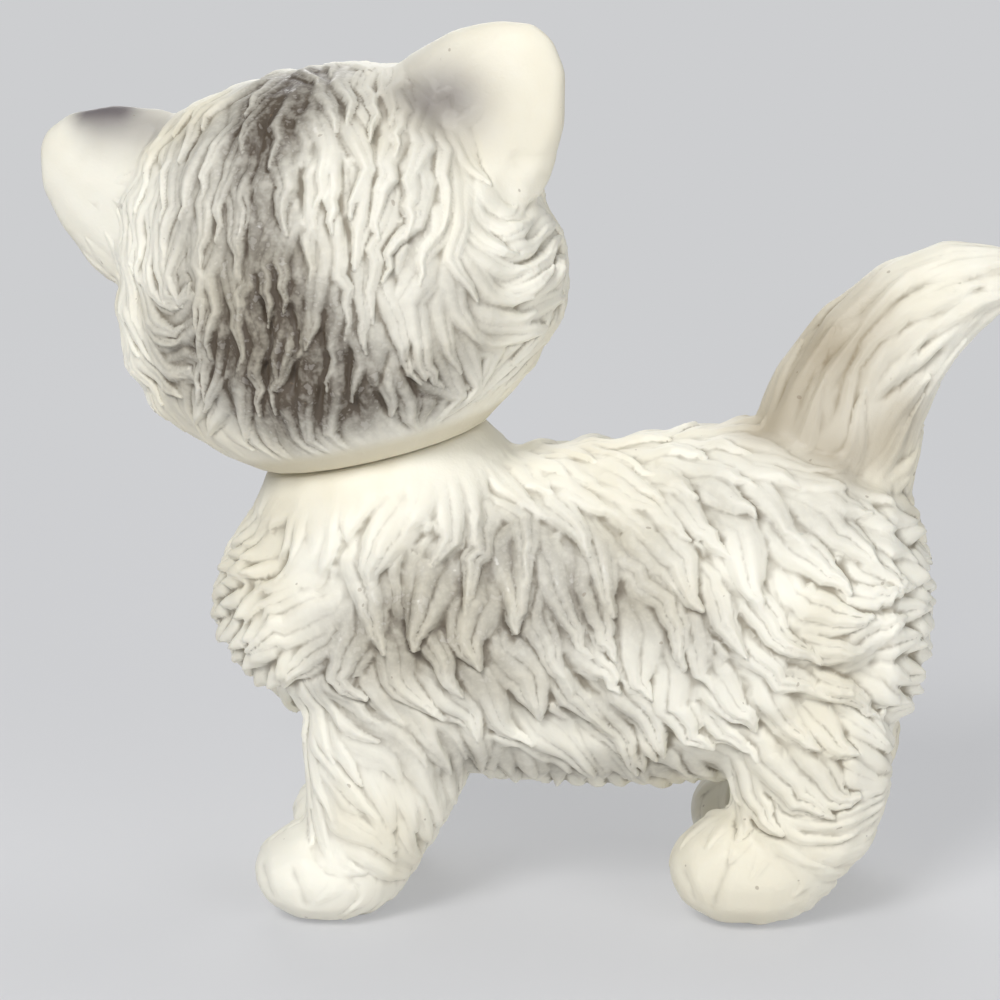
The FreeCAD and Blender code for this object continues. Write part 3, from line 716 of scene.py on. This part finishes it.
def lined(places, lines, half_width):
    """How much of a thin line, painted on the front of the face, lies on each place."""
    ahead, aside, height = on_face(places)
    flat = np.stack([aside, height], axis=1)
    edge = 0.9
    amount = np.zeros(len(places))
    for line in lines:
        points = np.array(line, float)
        for start, end in zip(points, points[1:]):
            run = end - start
            way = np.clip((flat - start) @ run / (run @ run), 0, 1)
            gap = np.sqrt(((flat - start - way[:, None] * run) ** 2).sum(axis=1))
            amount = np.maximum(amount, np.clip((half_width - gap) / edge + 0.5, 0, 1))
    return amount * (ahead > FACE_FRONT)


class Flow:
    """How the fur runs: directions and lock sizes between listed strokes."""

    def __init__(self):
        self.places = []
        self.ways = []
        self.sizes = []

    def lay(self, kind, points):
        points = [point for point in points if point is not None]
        for start, end in zip(points, points[1:]):
            way = end - start
            span = np.linalg.norm(way)
            if not 0 < span < LONGEST_RUN:
                continue
            for share in (0.0, 0.5, 1.0):
                self.places.append(start + way * share)
                self.ways.append(way / span)
                self.sizes.append(LOCK_KINDS[kind])

    def mirror(self, middle):
        for place, way, size in list(zip(self.places, self.ways, self.sizes)):
            self.places.append(np.array([place[0], 2 * middle - place[1], place[2]]))
            self.ways.append(np.array([way[0], -way[1], way[2]]))
            self.sizes.append(size)

    def settle(self):
        self.places = np.array(self.places)
        self.ways = np.array(self.ways)
        self.sizes = np.array(self.sizes)

    def at(self, point):
        """Direction and lock size at a place."""
        gaps = ((self.places - point) ** 2).sum(axis=1)
        weights = 1 / (gaps + FLOW_BLUR ** 2) ** 2
        weights /= weights.sum()
        return weights @ self.ways, weights @ self.sizes


class Relief:
    """Heights on a skin's vertices, raised lock by lock."""

    def __init__(self, ground):
        self.ground = ground
        count = len(ground.places)
        self.height = np.zeros(count)
        self.full = np.zeros(count)
        self.cut = np.zeros(count)
        self.lean = np.zeros((count, 3))

    def reach(self, points, radius):
        """For vertices near a line: which they are, distance, side, way along it, direction."""
        ground = self.ground
        near = ground.near(points, radius)
        if not len(near):
            return None
        places = ground.places[near]
        starts = points[:-1]
        runs = points[1:] - starts
        lengths = np.maximum((runs ** 2).sum(axis=1), 1e-12)
        gaps = places[:, None, :] - starts[None]
        ways = np.clip((gaps * runs[None]).sum(axis=2) / lengths[None], 0, 1)
        offsets = gaps - runs[None] * ways[..., None]
        squares = (offsets ** 2).sum(axis=2)
        best = squares.argmin(axis=1)
        rows = np.arange(len(near))
        distance = np.sqrt(squares[rows, best])
        inside = distance < radius
        near, best, distance = near[inside], best[inside], distance[inside]
        rows = rows[inside]
        headings = runs[best] / np.sqrt(lengths[best])[:, None]
        sides = np.cross(ground.normals[near], headings)
        side = np.sign((offsets[rows, best] * sides).sum(axis=1))
        along = (best + ways[rows, best]) / len(runs)
        return near, distance, side, along, headings

    def raise_lock(self, points, half_width, height, ridges, phase):
        """One lock: low and narrow at its root, high behind its middle, drawn out to a tip."""
        found = self.reach(points, half_width)
        if found is None:
            return
        near, distance, side, along, headings = found
        swell = 0.6 + 0.4 * np.clip(along / 0.35, 0, 1)
        taper = 1 - 0.86 * np.clip((along - 0.42) / 0.58, 0, 1) ** 1.5
        share = np.clip(distance / (half_width * swell * taper), 0, 1)
        dome = (1 - share ** 2) ** 0.6
        crest = 0.15 + 0.85 * np.clip(along / 0.8, 0, 1) ** 0.9
        value = height * crest * dome
        if ridges > 1:
            strand = np.abs(np.sin(math.pi * (share * side * ridges / 2 + phase)))
            value = value * (0.66 + 0.34 * strand ** 0.7)
        higher = value > self.height[near]
        near, value = near[higher], value[higher]
        self.height[near] = value
        self.full[near] = height
        self.lean[near] = headings[higher]

    def carve(self, points, half_width, depth):
        """One groove that runs out at both ends."""
        found = self.reach(points, half_width)
        if found is None:
            return
        near, distance, _, along, _ = found
        fade = np.clip(np.minimum(along, 1 - along) / 0.2, 0, 1)
        value = depth * fade * (1 - distance / half_width) ** 1.5
        self.cut[near] = np.maximum(self.cut[near], value)


def lay_locks(ground, flow, relief, dice):
    """Locks spread over a skin, each as long and as wide as the flow says where it stands."""
    starts = dice.permutation(len(ground.places))[:LOCK_TRIES]
    kept = np.empty((0, 3))
    rows = []
    for index in starts:
        place = ground.places[index]
        way, size = flow.at(place)
        length, half_width, height, _, _ = size
        if height < LOWEST_LOCK:
            continue
        normal = ground.normals[index]
        way = way - normal * (way @ normal)
        span = np.linalg.norm(way)
        if span < 1e-6:
            continue
        way /= span
        gaps = kept - place
        along = (gaps * way).sum(axis=1)
        square = (gaps ** 2).sum(axis=1) - along ** 2
        crowd = (along / (CROWD_ALONG * length * MM)) ** 2
        crowd += square / (CROWD_ACROSS * half_width * MM) ** 2
        if len(crowd) and crowd.min() < 1:
            continue
        kept = np.vstack([kept, place])
        rows.append((place, size))
    for place, size in rows:
        length, half_width, height, waves, ridges = size
        length *= dice.uniform(0.75, 1.25)
        half_width *= dice.uniform(0.7, 1.35)
        height *= dice.uniform(0.75, 1.15)
        points = trace(ground, flow, place, length * MM, waves)
        relief.raise_lock(
            points, half_width * MM, height * MM, round(ridges), dice.uniform(0, 1)
        )
    return len(rows)


def slow_drift(point):
    """A number that changes slowly over the coat, so that neighbours bend together."""
    return math.sin(point[0] * 95) + math.sin(point[1] * 80 + 1) + math.sin(point[2] * 110 + 2)


def trace(ground, flow, place, length, waves):
    """A lock's middle line: along the flow both ways from a place, in gentle waves."""
    stride = length / (2 * TRACE_STEPS)
    halves = []
    for direction in (-1, 1):
        point = place
        line = []
        for _ in range(TRACE_STEPS):
            way, _ = flow.at(point)
            _, normal = ground.settle(point)
            way = way - normal * (way @ normal)
            way /= max(np.linalg.norm(way), 1e-9)
            side = np.cross(normal, way)
            swing = waves * math.sin(2 * math.pi * (point @ way) / WAVE + slow_drift(point))
            heading = way + side * (BEND * swing)
            heading /= np.linalg.norm(heading)
            point, _ = ground.settle(point + heading * stride * direction)
            line.append(point)
        halves.append(line)
    return np.array(halves[0][::-1] + [place] + halves[1])


def carve_grooves(ground, relief, grooves, middle=None):
    """Carves grooves where the picture shows them, and mirrored where a middle is given."""
    for half_width, depth, numbers in grooves:
        hits = ground.all_seen(numbers)
        if len(hits) < 2:
            continue
        lines = [np.array(hits)]
        if middle is not None:
            far = lines[0].copy()
            far[:, 1] = 2 * middle - far[:, 1]
            lines.append(np.array([ground.settle(point)[0] for point in far]))
        for line in lines:
            fine = [line[0]]
            for start, end in zip(line, line[1:]):
                for share in (0.25, 0.5, 0.75, 1.0):
                    fine.append(ground.settle(start + (end - start) * share)[0])
            relief.carve(np.array(fine), half_width * MM, depth * MM)


def washed_and_shaded(places, washes_and_shade, ground, middle=None):
    """How much airbrushed paint lies on each place, with painted shade where a stroke stands for
    it: soft strokes of the gun.
    """
    bare = np.ones(len(places))
    for strength, radius, numbers in washes_and_shade:
        lines = [np.array(ground.all_seen(numbers))]
        if middle is not None:
            lines.append(lines[0] * (1, -1, 1) + (0, 2 * middle, 0))
        for line in lines:
            gap = np.full(len(places), np.inf)
            ends = line[1:] if len(line) > 1 else line
            for start, end in zip(line, ends):
                run = end - start
                square = max(run @ run, 1e-12)
                way = np.clip((places - start) @ run / square, 0, 1)
                offset = places - start - way[:, None] * run
                gap = np.minimum(gap, (offset ** 2).sum(axis=1))
            bare *= 1 - strength * np.exp(-gap / (radius * MM) ** 2)
    return 1 - bare


def smooth_below(relief, amount):
    """Fades the fur out where the amount, from 0 to 1, is low."""
    relief.height *= amount
    relief.full *= amount
    relief.cut *= amount


def over_seam(places):
    """Millimetres from the neck seam's plane, towards the crown."""
    return (places - np.array(NECK_PLACE)) @ np.array(NECK_AXIS) / MM


def kept_in_box(places):
    """Places eased back where they near the castings' box. The soles stay on the floor."""
    low, high = (np.array(corner) for corner in cad_box)
    room = BOX_EASE - BOX_GAP
    places = places.copy()
    sides = ((0, low, 1), (0, high, -1), (1, low, 1), (1, high, -1), (2, high, -1))
    for axis, limit, sign in sides:
        gap = (places[:, axis] - limit[axis]) * sign
        eased_gap = BOX_GAP + room * np.exp((gap - BOX_EASE) / room)
        held = limit[axis] + sign * eased_gap
        places[:, axis] = np.where(gap < BOX_EASE, held, places[:, axis])
    places[:, 2] = np.maximum(places[:, 2], 0)
    return places


def up_ear(places):
    """Millimetres along an ear, from its root in the skull. The skull itself reaches about 13."""
    _, aside, height = on_face(places)
    outwards = (np.abs(aside) - EAR_ASIDE) * math.sin(EAR_LEAN)
    return outwards + (height - EAR_RISE) * math.cos(EAR_LEAN)


def thin_and_cut(skin, socket):
    """Thins a skin to the budget of triangles and cuts its socket out of it."""
    triangles = sum(len(face.vertices) - 2 for face in skin.data.polygons)
    thin = skin.modifiers.new("thin", "DECIMATE")
    thin.ratio = min(1.0, TRIANGLE_BUDGET / triangles)
    build = bmesh.new()
    turned_solid(build, *socket)
    tool_mesh = bpy.data.meshes.new("socket")
    build.to_mesh(tool_mesh)
    build.free()
    tool = new_piece("socket", tool_mesh)
    bore = skin.modifiers.new("bore", "BOOLEAN")
    bore.operation = "DIFFERENCE"
    bore.solver = "MANIFOLD"
    bore.object = tool
    mesh = without_specks(baked(skin, skin.name))
    skin.modifiers.clear()
    skin.data = mesh
    bpy.data.objects.remove(tool)
    final = vertex_places(mesh)
    final[:, 2] = np.maximum(final[:, 2], 0)
    set_places(mesh, final)
    return final


def finish_skin(skin, pairs, ground, relief, socket, paints):
    """Lifts the skin by its relief, thins it, cuts its socket and paints its vertices."""
    height = relief.height
    low = VALLEY_SHARE * relief.full
    lift = height - eased(low[:, None], pairs, VALLEY_ROUNDS)[:, 0] - relief.cut
    share = np.clip(height / np.maximum(relief.full, 0.001 * MM), 0, 1)
    lean = relief.lean * (height * LEAN_SHARE)[:, None]
    moved = kept_in_box(ground.places + ground.normals * lift[:, None] + lean)
    mean = eased(lift[:, None], pairs, HOLLOW_ROUNDS)[:, 0]
    hollow = np.clip((mean - lift) / HOLLOW_DEPTH, -1, 1)
    moved = eased(moved, pairs, LAST_EASING)
    set_places(skin.data, moved)
    final = thin_and_cut(skin, socket)
    tree = KDTree(len(moved))
    for index, place in enumerate(moved):
        tree.insert(place, index)
    tree.balance()
    nearest = np.array([tree.find(place)[1] for place in final])
    values = {
        "ridge": share[nearest],
        "hollow": hollow[nearest],
        "furred": np.clip(relief.full[nearest] / MM, 0, 1),
    }
    for name, painter in paints.items():
        values[name] = painter(final)
    mesh = skin.data
    for name, amounts in values.items():
        layer = mesh.attributes.new(name, "FLOAT", "POINT")
        layer.data.foreach_set("value", amounts.astype(np.float32))
    for polygon in mesh.polygons:
        polygon.use_smooth = True


# Strokes of the airbrush, and on the body one stroke of painted shade under the belly: strength,
# reach in millimetres, then the points of the picture
HEAD_WASHES = [
    (0.88, 6.5, (302, 72, 284, 100, 268, 132)),
    (0.6, 8, (262, 80, 250, 120)),
    (0.5, 7, (332, 72, 322, 105)),
    (0.5, 9, (280, 110, 262, 170, 270, 240, 285, 300)),
    (0.46, 11, (250, 130, 232, 190, 238, 260, 235, 330)),
    (0.16, 8, (345, 110, 352, 180, 352, 250, 365, 320)),
    (0.66, 10, (268, 290, 290, 340, 300, 385)),
    (0.94, 9.5, (255, 365, 300, 398, 345, 405)),
    (0.62, 9, (325, 330, 370, 380, 410, 395)),
    (0.6, 9, (215, 355, 240, 405, 285, 428)),
    (0.2, 9, (405, 100, 415, 180, 402, 260, 425, 340)),
    (0.34, 9, (190, 140, 182, 220, 192, 310, 185, 370)),
    (0.34, 8, (465, 290, 472, 345, 440, 400)),
    (0.3, 8, (160, 320, 170, 380)),
]
EAR_WASHES = [
    (0.55, 7, (430, 102, 452, 96)),
    (0.34, 11, (415, 90, 460, 108)),
    (0.9, 4.5, (88, 112, 120, 110, 165, 108)),
    (0.55, 7, (105, 122, 150, 126)),
]
BODY_WASHES_AND_SHADE = [
    (0.46, 11, (350, 640, 400, 610, 440, 580, 500, 560)),
    (0.42, 11, (420, 650, 480, 640, 560, 620)),
    (0.36, 10, (585, 600, 640, 615, 700, 640)),
    (0.26, 9, (520, 530, 590, 540, 660, 555)),
    (0.22, 9, (700, 490, 770, 520, 840, 520)),
    (0.3, 8, (330, 690, 390, 735, 450, 760)),
    (0.3, 8, (480, 690, 560, 700, 620, 720)),
    # Painted shade along the underside of the belly
    (0.4, 8, (480, 762, 560, 772, 700, 770)),
    (0.14, 8, (800, 660, 860, 655)),
    (0.12, 8, (780, 760, 850, 790)),
]
TAIL_WASHES = [
    (0.6, 9, (768, 428, 788, 390, 815, 350)),
    (0.3, 8, (830, 330, 860, 295)),
    (0.5, 8, (845, 462, 880, 448, 905, 415)),
    (0.42, 10, (815, 432, 845, 385, 872, 335)),
]


def build_body():
    fillings = [
        (NECK_PLACE, NECK_AXIS, NECK_FILLING), (SQUEAKER_PLACE, Z_AXIS, SQUEAKER_FILLING)
    ]
    skin, pairs = casting_skin("body_shell", fillings, BODY_GRAIN)
    ground = Ground(skin)
    flow = Flow()
    for kind, *strokes in BODY_STROKES:
        for numbers in strokes:
            flow.lay(kind, ground.all_seen(numbers))
    flow.mirror(MIDDLE)
    flow.settle()
    relief = Relief(ground)
    count = lay_locks(ground, flow, relief, np.random.default_rng(SEED))
    carve_grooves(ground, relief, TAIL_GROOVES + TOE_GROOVES, MIDDLE)
    from_neck = np.linalg.norm(ground.places - np.array(NECK_PLACE), axis=1) / MM
    smooth_below(relief, np.clip((from_neck - COLLAR_BARE) / COLLAR_FADE, 0, 1))
    paints = {
        "wash": lambda places: washed_and_shaded(places, BODY_WASHES_AND_SHADE, ground, MIDDLE),
        "warm": lambda places: washed_and_shaded(places, TAIL_WASHES, ground, MIDDLE),
    }
    finish_skin(skin, pairs, ground, relief, (SQUEAKER_PLACE, Z_AXIS, SQUEAKER_SOCKET), paints)
    print("body locks", count, "vertices", len(ground.places))
    return skin


def build_head():
    fillings = [(NECK_PLACE, NECK_AXIS, LIP_FILLING)]
    skin, pairs = casting_skin("head_shell", fillings, HEAD_GRAIN)
    ground = Ground(skin)
    flow = Flow()
    for kind, *strokes in HEAD_STROKES:
        for numbers in strokes:
            flow.lay(kind, ground.all_seen(numbers))
    for kind, *strokes in FACE_STROKES:
        for numbers in strokes:
            flow.lay(kind, [head_point(ground, *point) for point in paired(numbers)])
    flow.settle()
    relief = Relief(ground)
    count = lay_locks(ground, flow, relief, np.random.default_rng(SEED + 1))
    carve_grooves(ground, relief, HEAD_GROOVES)
    smooth_below(relief, np.clip((over_seam(ground.places) - RIM_BARE) / RIM_FADE, 0, 1))
    smooth_below(relief, np.clip((EAR_FURRED - up_ear(ground.places)) / EAR_FADE, 0, 1))
    # Spots on the face: place, then radius and soft edge in millimetres
    irises = pair_of_spots(EYE_FRONT, EYE_ASIDE, EYE_RISE, 7.6, 0.8)
    pupils = pair_of_spots(EYE_FRONT + 0.6, EYE_ASIDE, EYE_RISE, 4.2, 0.8)
    glints = pair_of_spots(EYE_FRONT, EYE_ASIDE, EYE_RISE + 3, 1.5, 0.8, shift=2.2)
    nose = [(face_place(49, 0, 33), 4.6, 1.6)]
    ear_cups = pair_of_spots(12, 53, 84, 13.5, 4)
    paints = {
        "wash": lambda places: washed_and_shaded(places, HEAD_WASHES, ground),
        "warm": lambda places: washed_and_shaded(places, EAR_WASHES, ground),
        "iris": lambda places: spotted(places, irises),
        "dark": lambda places: spotted(places, pupils),
        "line": lambda places: lined(places, MOUTH_LINES, 0.7),
        "light": lambda places: spotted(places, glints),
        "rim": lambda places: np.clip((6.5 - over_seam(places)) / 2.5, 0, 1),
        "pink": lambda places: spotted(places, nose + ear_cups),
    }
    finish_skin(skin, pairs, ground, relief, (NECK_PLACE, NECK_AXIS, NECK_SOCKET), paints)
    print("head locks", count, "vertices", len(ground.places))
    return skin


# Finishes

IVORY = shade(243, 240, 227)
CREAM = shade(222, 214, 190)
SPRAY_AND_SHADE = shade(84, 74, 62)
EAR_SPRAY = shade(92, 84, 88)
TAIL_SPRAY = shade(142, 124, 92)
HOLLOW_SHADE_AND_GRIME = shade(128, 117, 96)
DOT = shade(120, 100, 80)
SCUFF_HIGHLIGHT = shade(236, 232, 224)
RIM_BEIGE = shade(206, 197, 172)
BLUSH = shade(226, 176, 164)
IRIS = shade(96, 138, 146)
PUPIL = shade(28, 26, 28)
EYE_LIGHT = shade(240, 240, 238)
MOUTH = shade(96, 76, 70)
SCRATCH = shade(90, 84, 74)
PAPER = shade(226, 226, 228)
BACKDROP = shade(205, 206, 208)


def vinyl(name, spot_colour):
    """Satin soft vinyl: ivory, with airbrushed grey, hollows darkened by painted shade and grime,
    and worn crests.
    """
    finish = Finish(name)
    ridge = finish.painted("ridge")
    hollow = finish.painted("hollow")
    furred = finish.painted("furred")
    wash = finish.painted("wash")
    warm = finish.painted("warm")
    drift = finish.noise(26, 3)
    grain = finish.noise(900, 3, 0.6)
    speck = finish.noise(420, 2, 0.6)
    deep = finish.band(hollow, 0.0, 0.7)
    worn = 1 - finish.band(ridge, 0.45, 1.0, 0.0, 0.38) * furred
    # Airbrushed grey, laid on stronger in the hollows as painted shade
    paint = wash * worn * (1.06 + deep * 0.45) * finish.band(speck, 0.3, 0.6, 0.85, 1.08)
    colour = finish.blend(IVORY, CREAM, finish.band(drift, 0.42, 0.68, 0.05, 0.6))
    # Painted shade and grime: the hollows between the locks are darkened
    colour = finish.blend(colour, HOLLOW_SHADE_AND_GRIME, deep * 0.78)
    colour = finish.blend(colour, SPRAY_AND_SHADE, paint.least(1))
    colour = finish.blend(colour, spot_colour, warm)
    dots = finish.band(finish.noise(520, 0), 0.85, 0.87)
    colour = finish.blend(colour, DOT, dots * 0.4)
    # Painted highlight: glint specks on shinier scuffed spots lighten the colour, and lower the
    # roughness too
    glint = finish.band(speck, 0.60, 0.66) * finish.band(wash, 0.15, 0.5) * (1 - deep)
    colour = finish.blend(colour, SCUFF_HIGHLIGHT, glint * 0.16)
    finish.set("Roughness", 0.44 + grain * 0.14 - glint * 0.2)
    finish.set("Specular IOR Level", 0.4)
    finish.set("Subsurface Weight", 0.08)
    finish.set("Subsurface Radius", (1.0, 0.8, 0.55))
    finish.set("Subsurface Scale", 0.002)
    pores = finish.bump(grain, 0.00012, 0.5)
    finish.set("Normal", finish.bump(speck, 0.00018, 0.4, below=pores))
    return finish, colour


def body_vinyl():
    finish, colour = vinyl("body_vinyl", TAIL_SPRAY)
    finish.set("Base Color", colour)
    return finish.material


def head_vinyl():
    """The body's vinyl, with painted eyes and nose and a blush inside the ears."""
    finish, colour = vinyl("head_vinyl", EAR_SPRAY)
    colour = finish.blend(colour, RIM_BEIGE, finish.painted("rim") * 0.75)
    colour = finish.blend(colour, BLUSH, finish.painted("pink") * 0.75)
    colour = finish.blend(colour, IRIS, finish.painted("iris"))
    colour = finish.blend(colour, PUPIL, finish.painted("dark"))
    colour = finish.blend(colour, EYE_LIGHT, finish.painted("light"))
    colour = finish.blend(colour, MOUTH, finish.painted("line") * 0.8)
    finish.set("Base Color", colour)
    finish.set("Coat Weight", finish.painted("iris"))
    return finish.material


def plain_metal(name, colour, roughness):
    finish = Finish(name)
    scratch = finish.noise(600, 4, 0.6)
    tarnish = finish.band(scratch, 0.5, 0.8) * 0.5
    finish.set("Base Color", finish.blend(colour, SCRATCH, tarnish))
    finish.set("Metallic", 1.0)
    finish.set("Roughness", roughness + scratch * 0.2)
    return finish.material


def plain_plastic(name, colour):
    finish = Finish(name)
    cloud = finish.noise(200, 2)
    finish.set("Base Color", finish.blend(colour, CREAM, cloud * 0.5))
    finish.set("Roughness", 0.4 + cloud * 0.15)
    return finish.material


# Stage


def make_floor():
    """A sheet of paper that glows to the camera, more with distance, so no horizon shows."""
    floor = bpy.data.meshes.new("floor")
    reach = 3.0
    corners = [(-reach, -reach, 0), (reach, -reach, 0), (reach, reach, 0), (-reach, reach, 0)]
    floor.from_pydata(corners, [], [(0, 1, 2, 3)])
    piece = new_piece("floor", floor)
    finish = Finish("floor_paper")
    finish.set("Base Color", PAPER)
    finish.set("Roughness", 0.9)
    glow = finish.node("ShaderNodeEmission", None, {"Color": BACKDROP, "Strength": 1.0})
    seen = finish.node("ShaderNodeLightPath", output="Is Camera Ray")
    away = finish.node(
        "ShaderNodeVectorMath", {"operation": "LENGTH"}, [finish.place()], output="Value"
    )
    paper = Wire(finish, finish.shader.outputs[0])
    share = seen * finish.band(away, 0.2, 1.1, 0.5, 1.0)
    shown = finish.node("ShaderNodeMixShader", None, [share, paper, glow])
    finish.tree.links.new(shown.socket, finish.tree.nodes["Material Output"].inputs["Surface"])
    floor.materials.append(finish.material)


def make_world():
    """A weak bluish light from all round, and a grey backdrop for the camera."""
    world = bpy.data.worlds.new("world")
    bpy.context.scene.world = world
    world.use_nodes = True
    nodes = world.node_tree.nodes
    links = world.node_tree.links
    rays = nodes.new("ShaderNodeLightPath")
    backdrop = nodes.new("ShaderNodeBackground")
    backdrop.inputs["Color"].default_value = BACKDROP
    choice = nodes.new("ShaderNodeMixShader")
    nodes["Background"].inputs["Color"].default_value = (0.92, 0.95, 1.0, 1)
    nodes["Background"].inputs["Strength"].default_value = 0.22
    links.new(rays.outputs["Is Camera Ray"], choice.inputs[0])
    links.new(nodes["Background"].outputs[0], choice.inputs[1])
    links.new(backdrop.outputs[0], choice.inputs[2])
    links.new(choice.outputs[0], nodes["World Output"].inputs["Surface"])


# Name, place and width in metres, watts
LAMPS = [
    ("key", (-0.40, -0.90, 0.85), 0.40, 10.2),
    ("fill", (0.80, -0.90, 0.35), 0.7, 4.6),
    ("top", (0.25, 0.35, 1.1), 0.6, 2.2),
    ("back", (-0.2, 1.1, 0.7), 0.7, 4.0),
]
LAMPS_AIM = Vector((0, 0, 0.1))


def make_lamps():
    for name, place, width, power in LAMPS:
        data = bpy.data.lights.new(name, "AREA")
        data.size = width
        data.energy = power
        lamp = bpy.data.objects.new(name, data)
        lamp.location = place
        aim = LAMPS_AIM - Vector(place)
        lamp.rotation_euler = aim.to_track_quat("-Z", "Y").to_euler()
        bpy.context.scene.collection.objects.link(lamp)


def set_finish(piece, material):
    piece.data.materials.clear()
    piece.data.materials.append(material)


make_camera()
make_floor()
make_world()
make_lamps()
bpy.context.scene.view_settings.view_transform = "Standard"
body = build_body()
head = build_head()
set_finish(body, body_vinyl())
set_finish(head, head_vinyl())
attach(body, "body")
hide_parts("body_shell")
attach(head, "head")
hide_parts("head_shell")
set_finish(frame["nodes"]["squeaker_cup"], plain_metal("cup_metal", shade(190, 190, 186), 0.3))
set_finish(frame["nodes"]["squeaker_reed"], plain_metal("reed_brass", shade(214, 176, 96), 0.22))
set_finish(frame["nodes"]["squeaker_cap"], plain_plastic("cap_plastic", shade(228, 222, 204)))
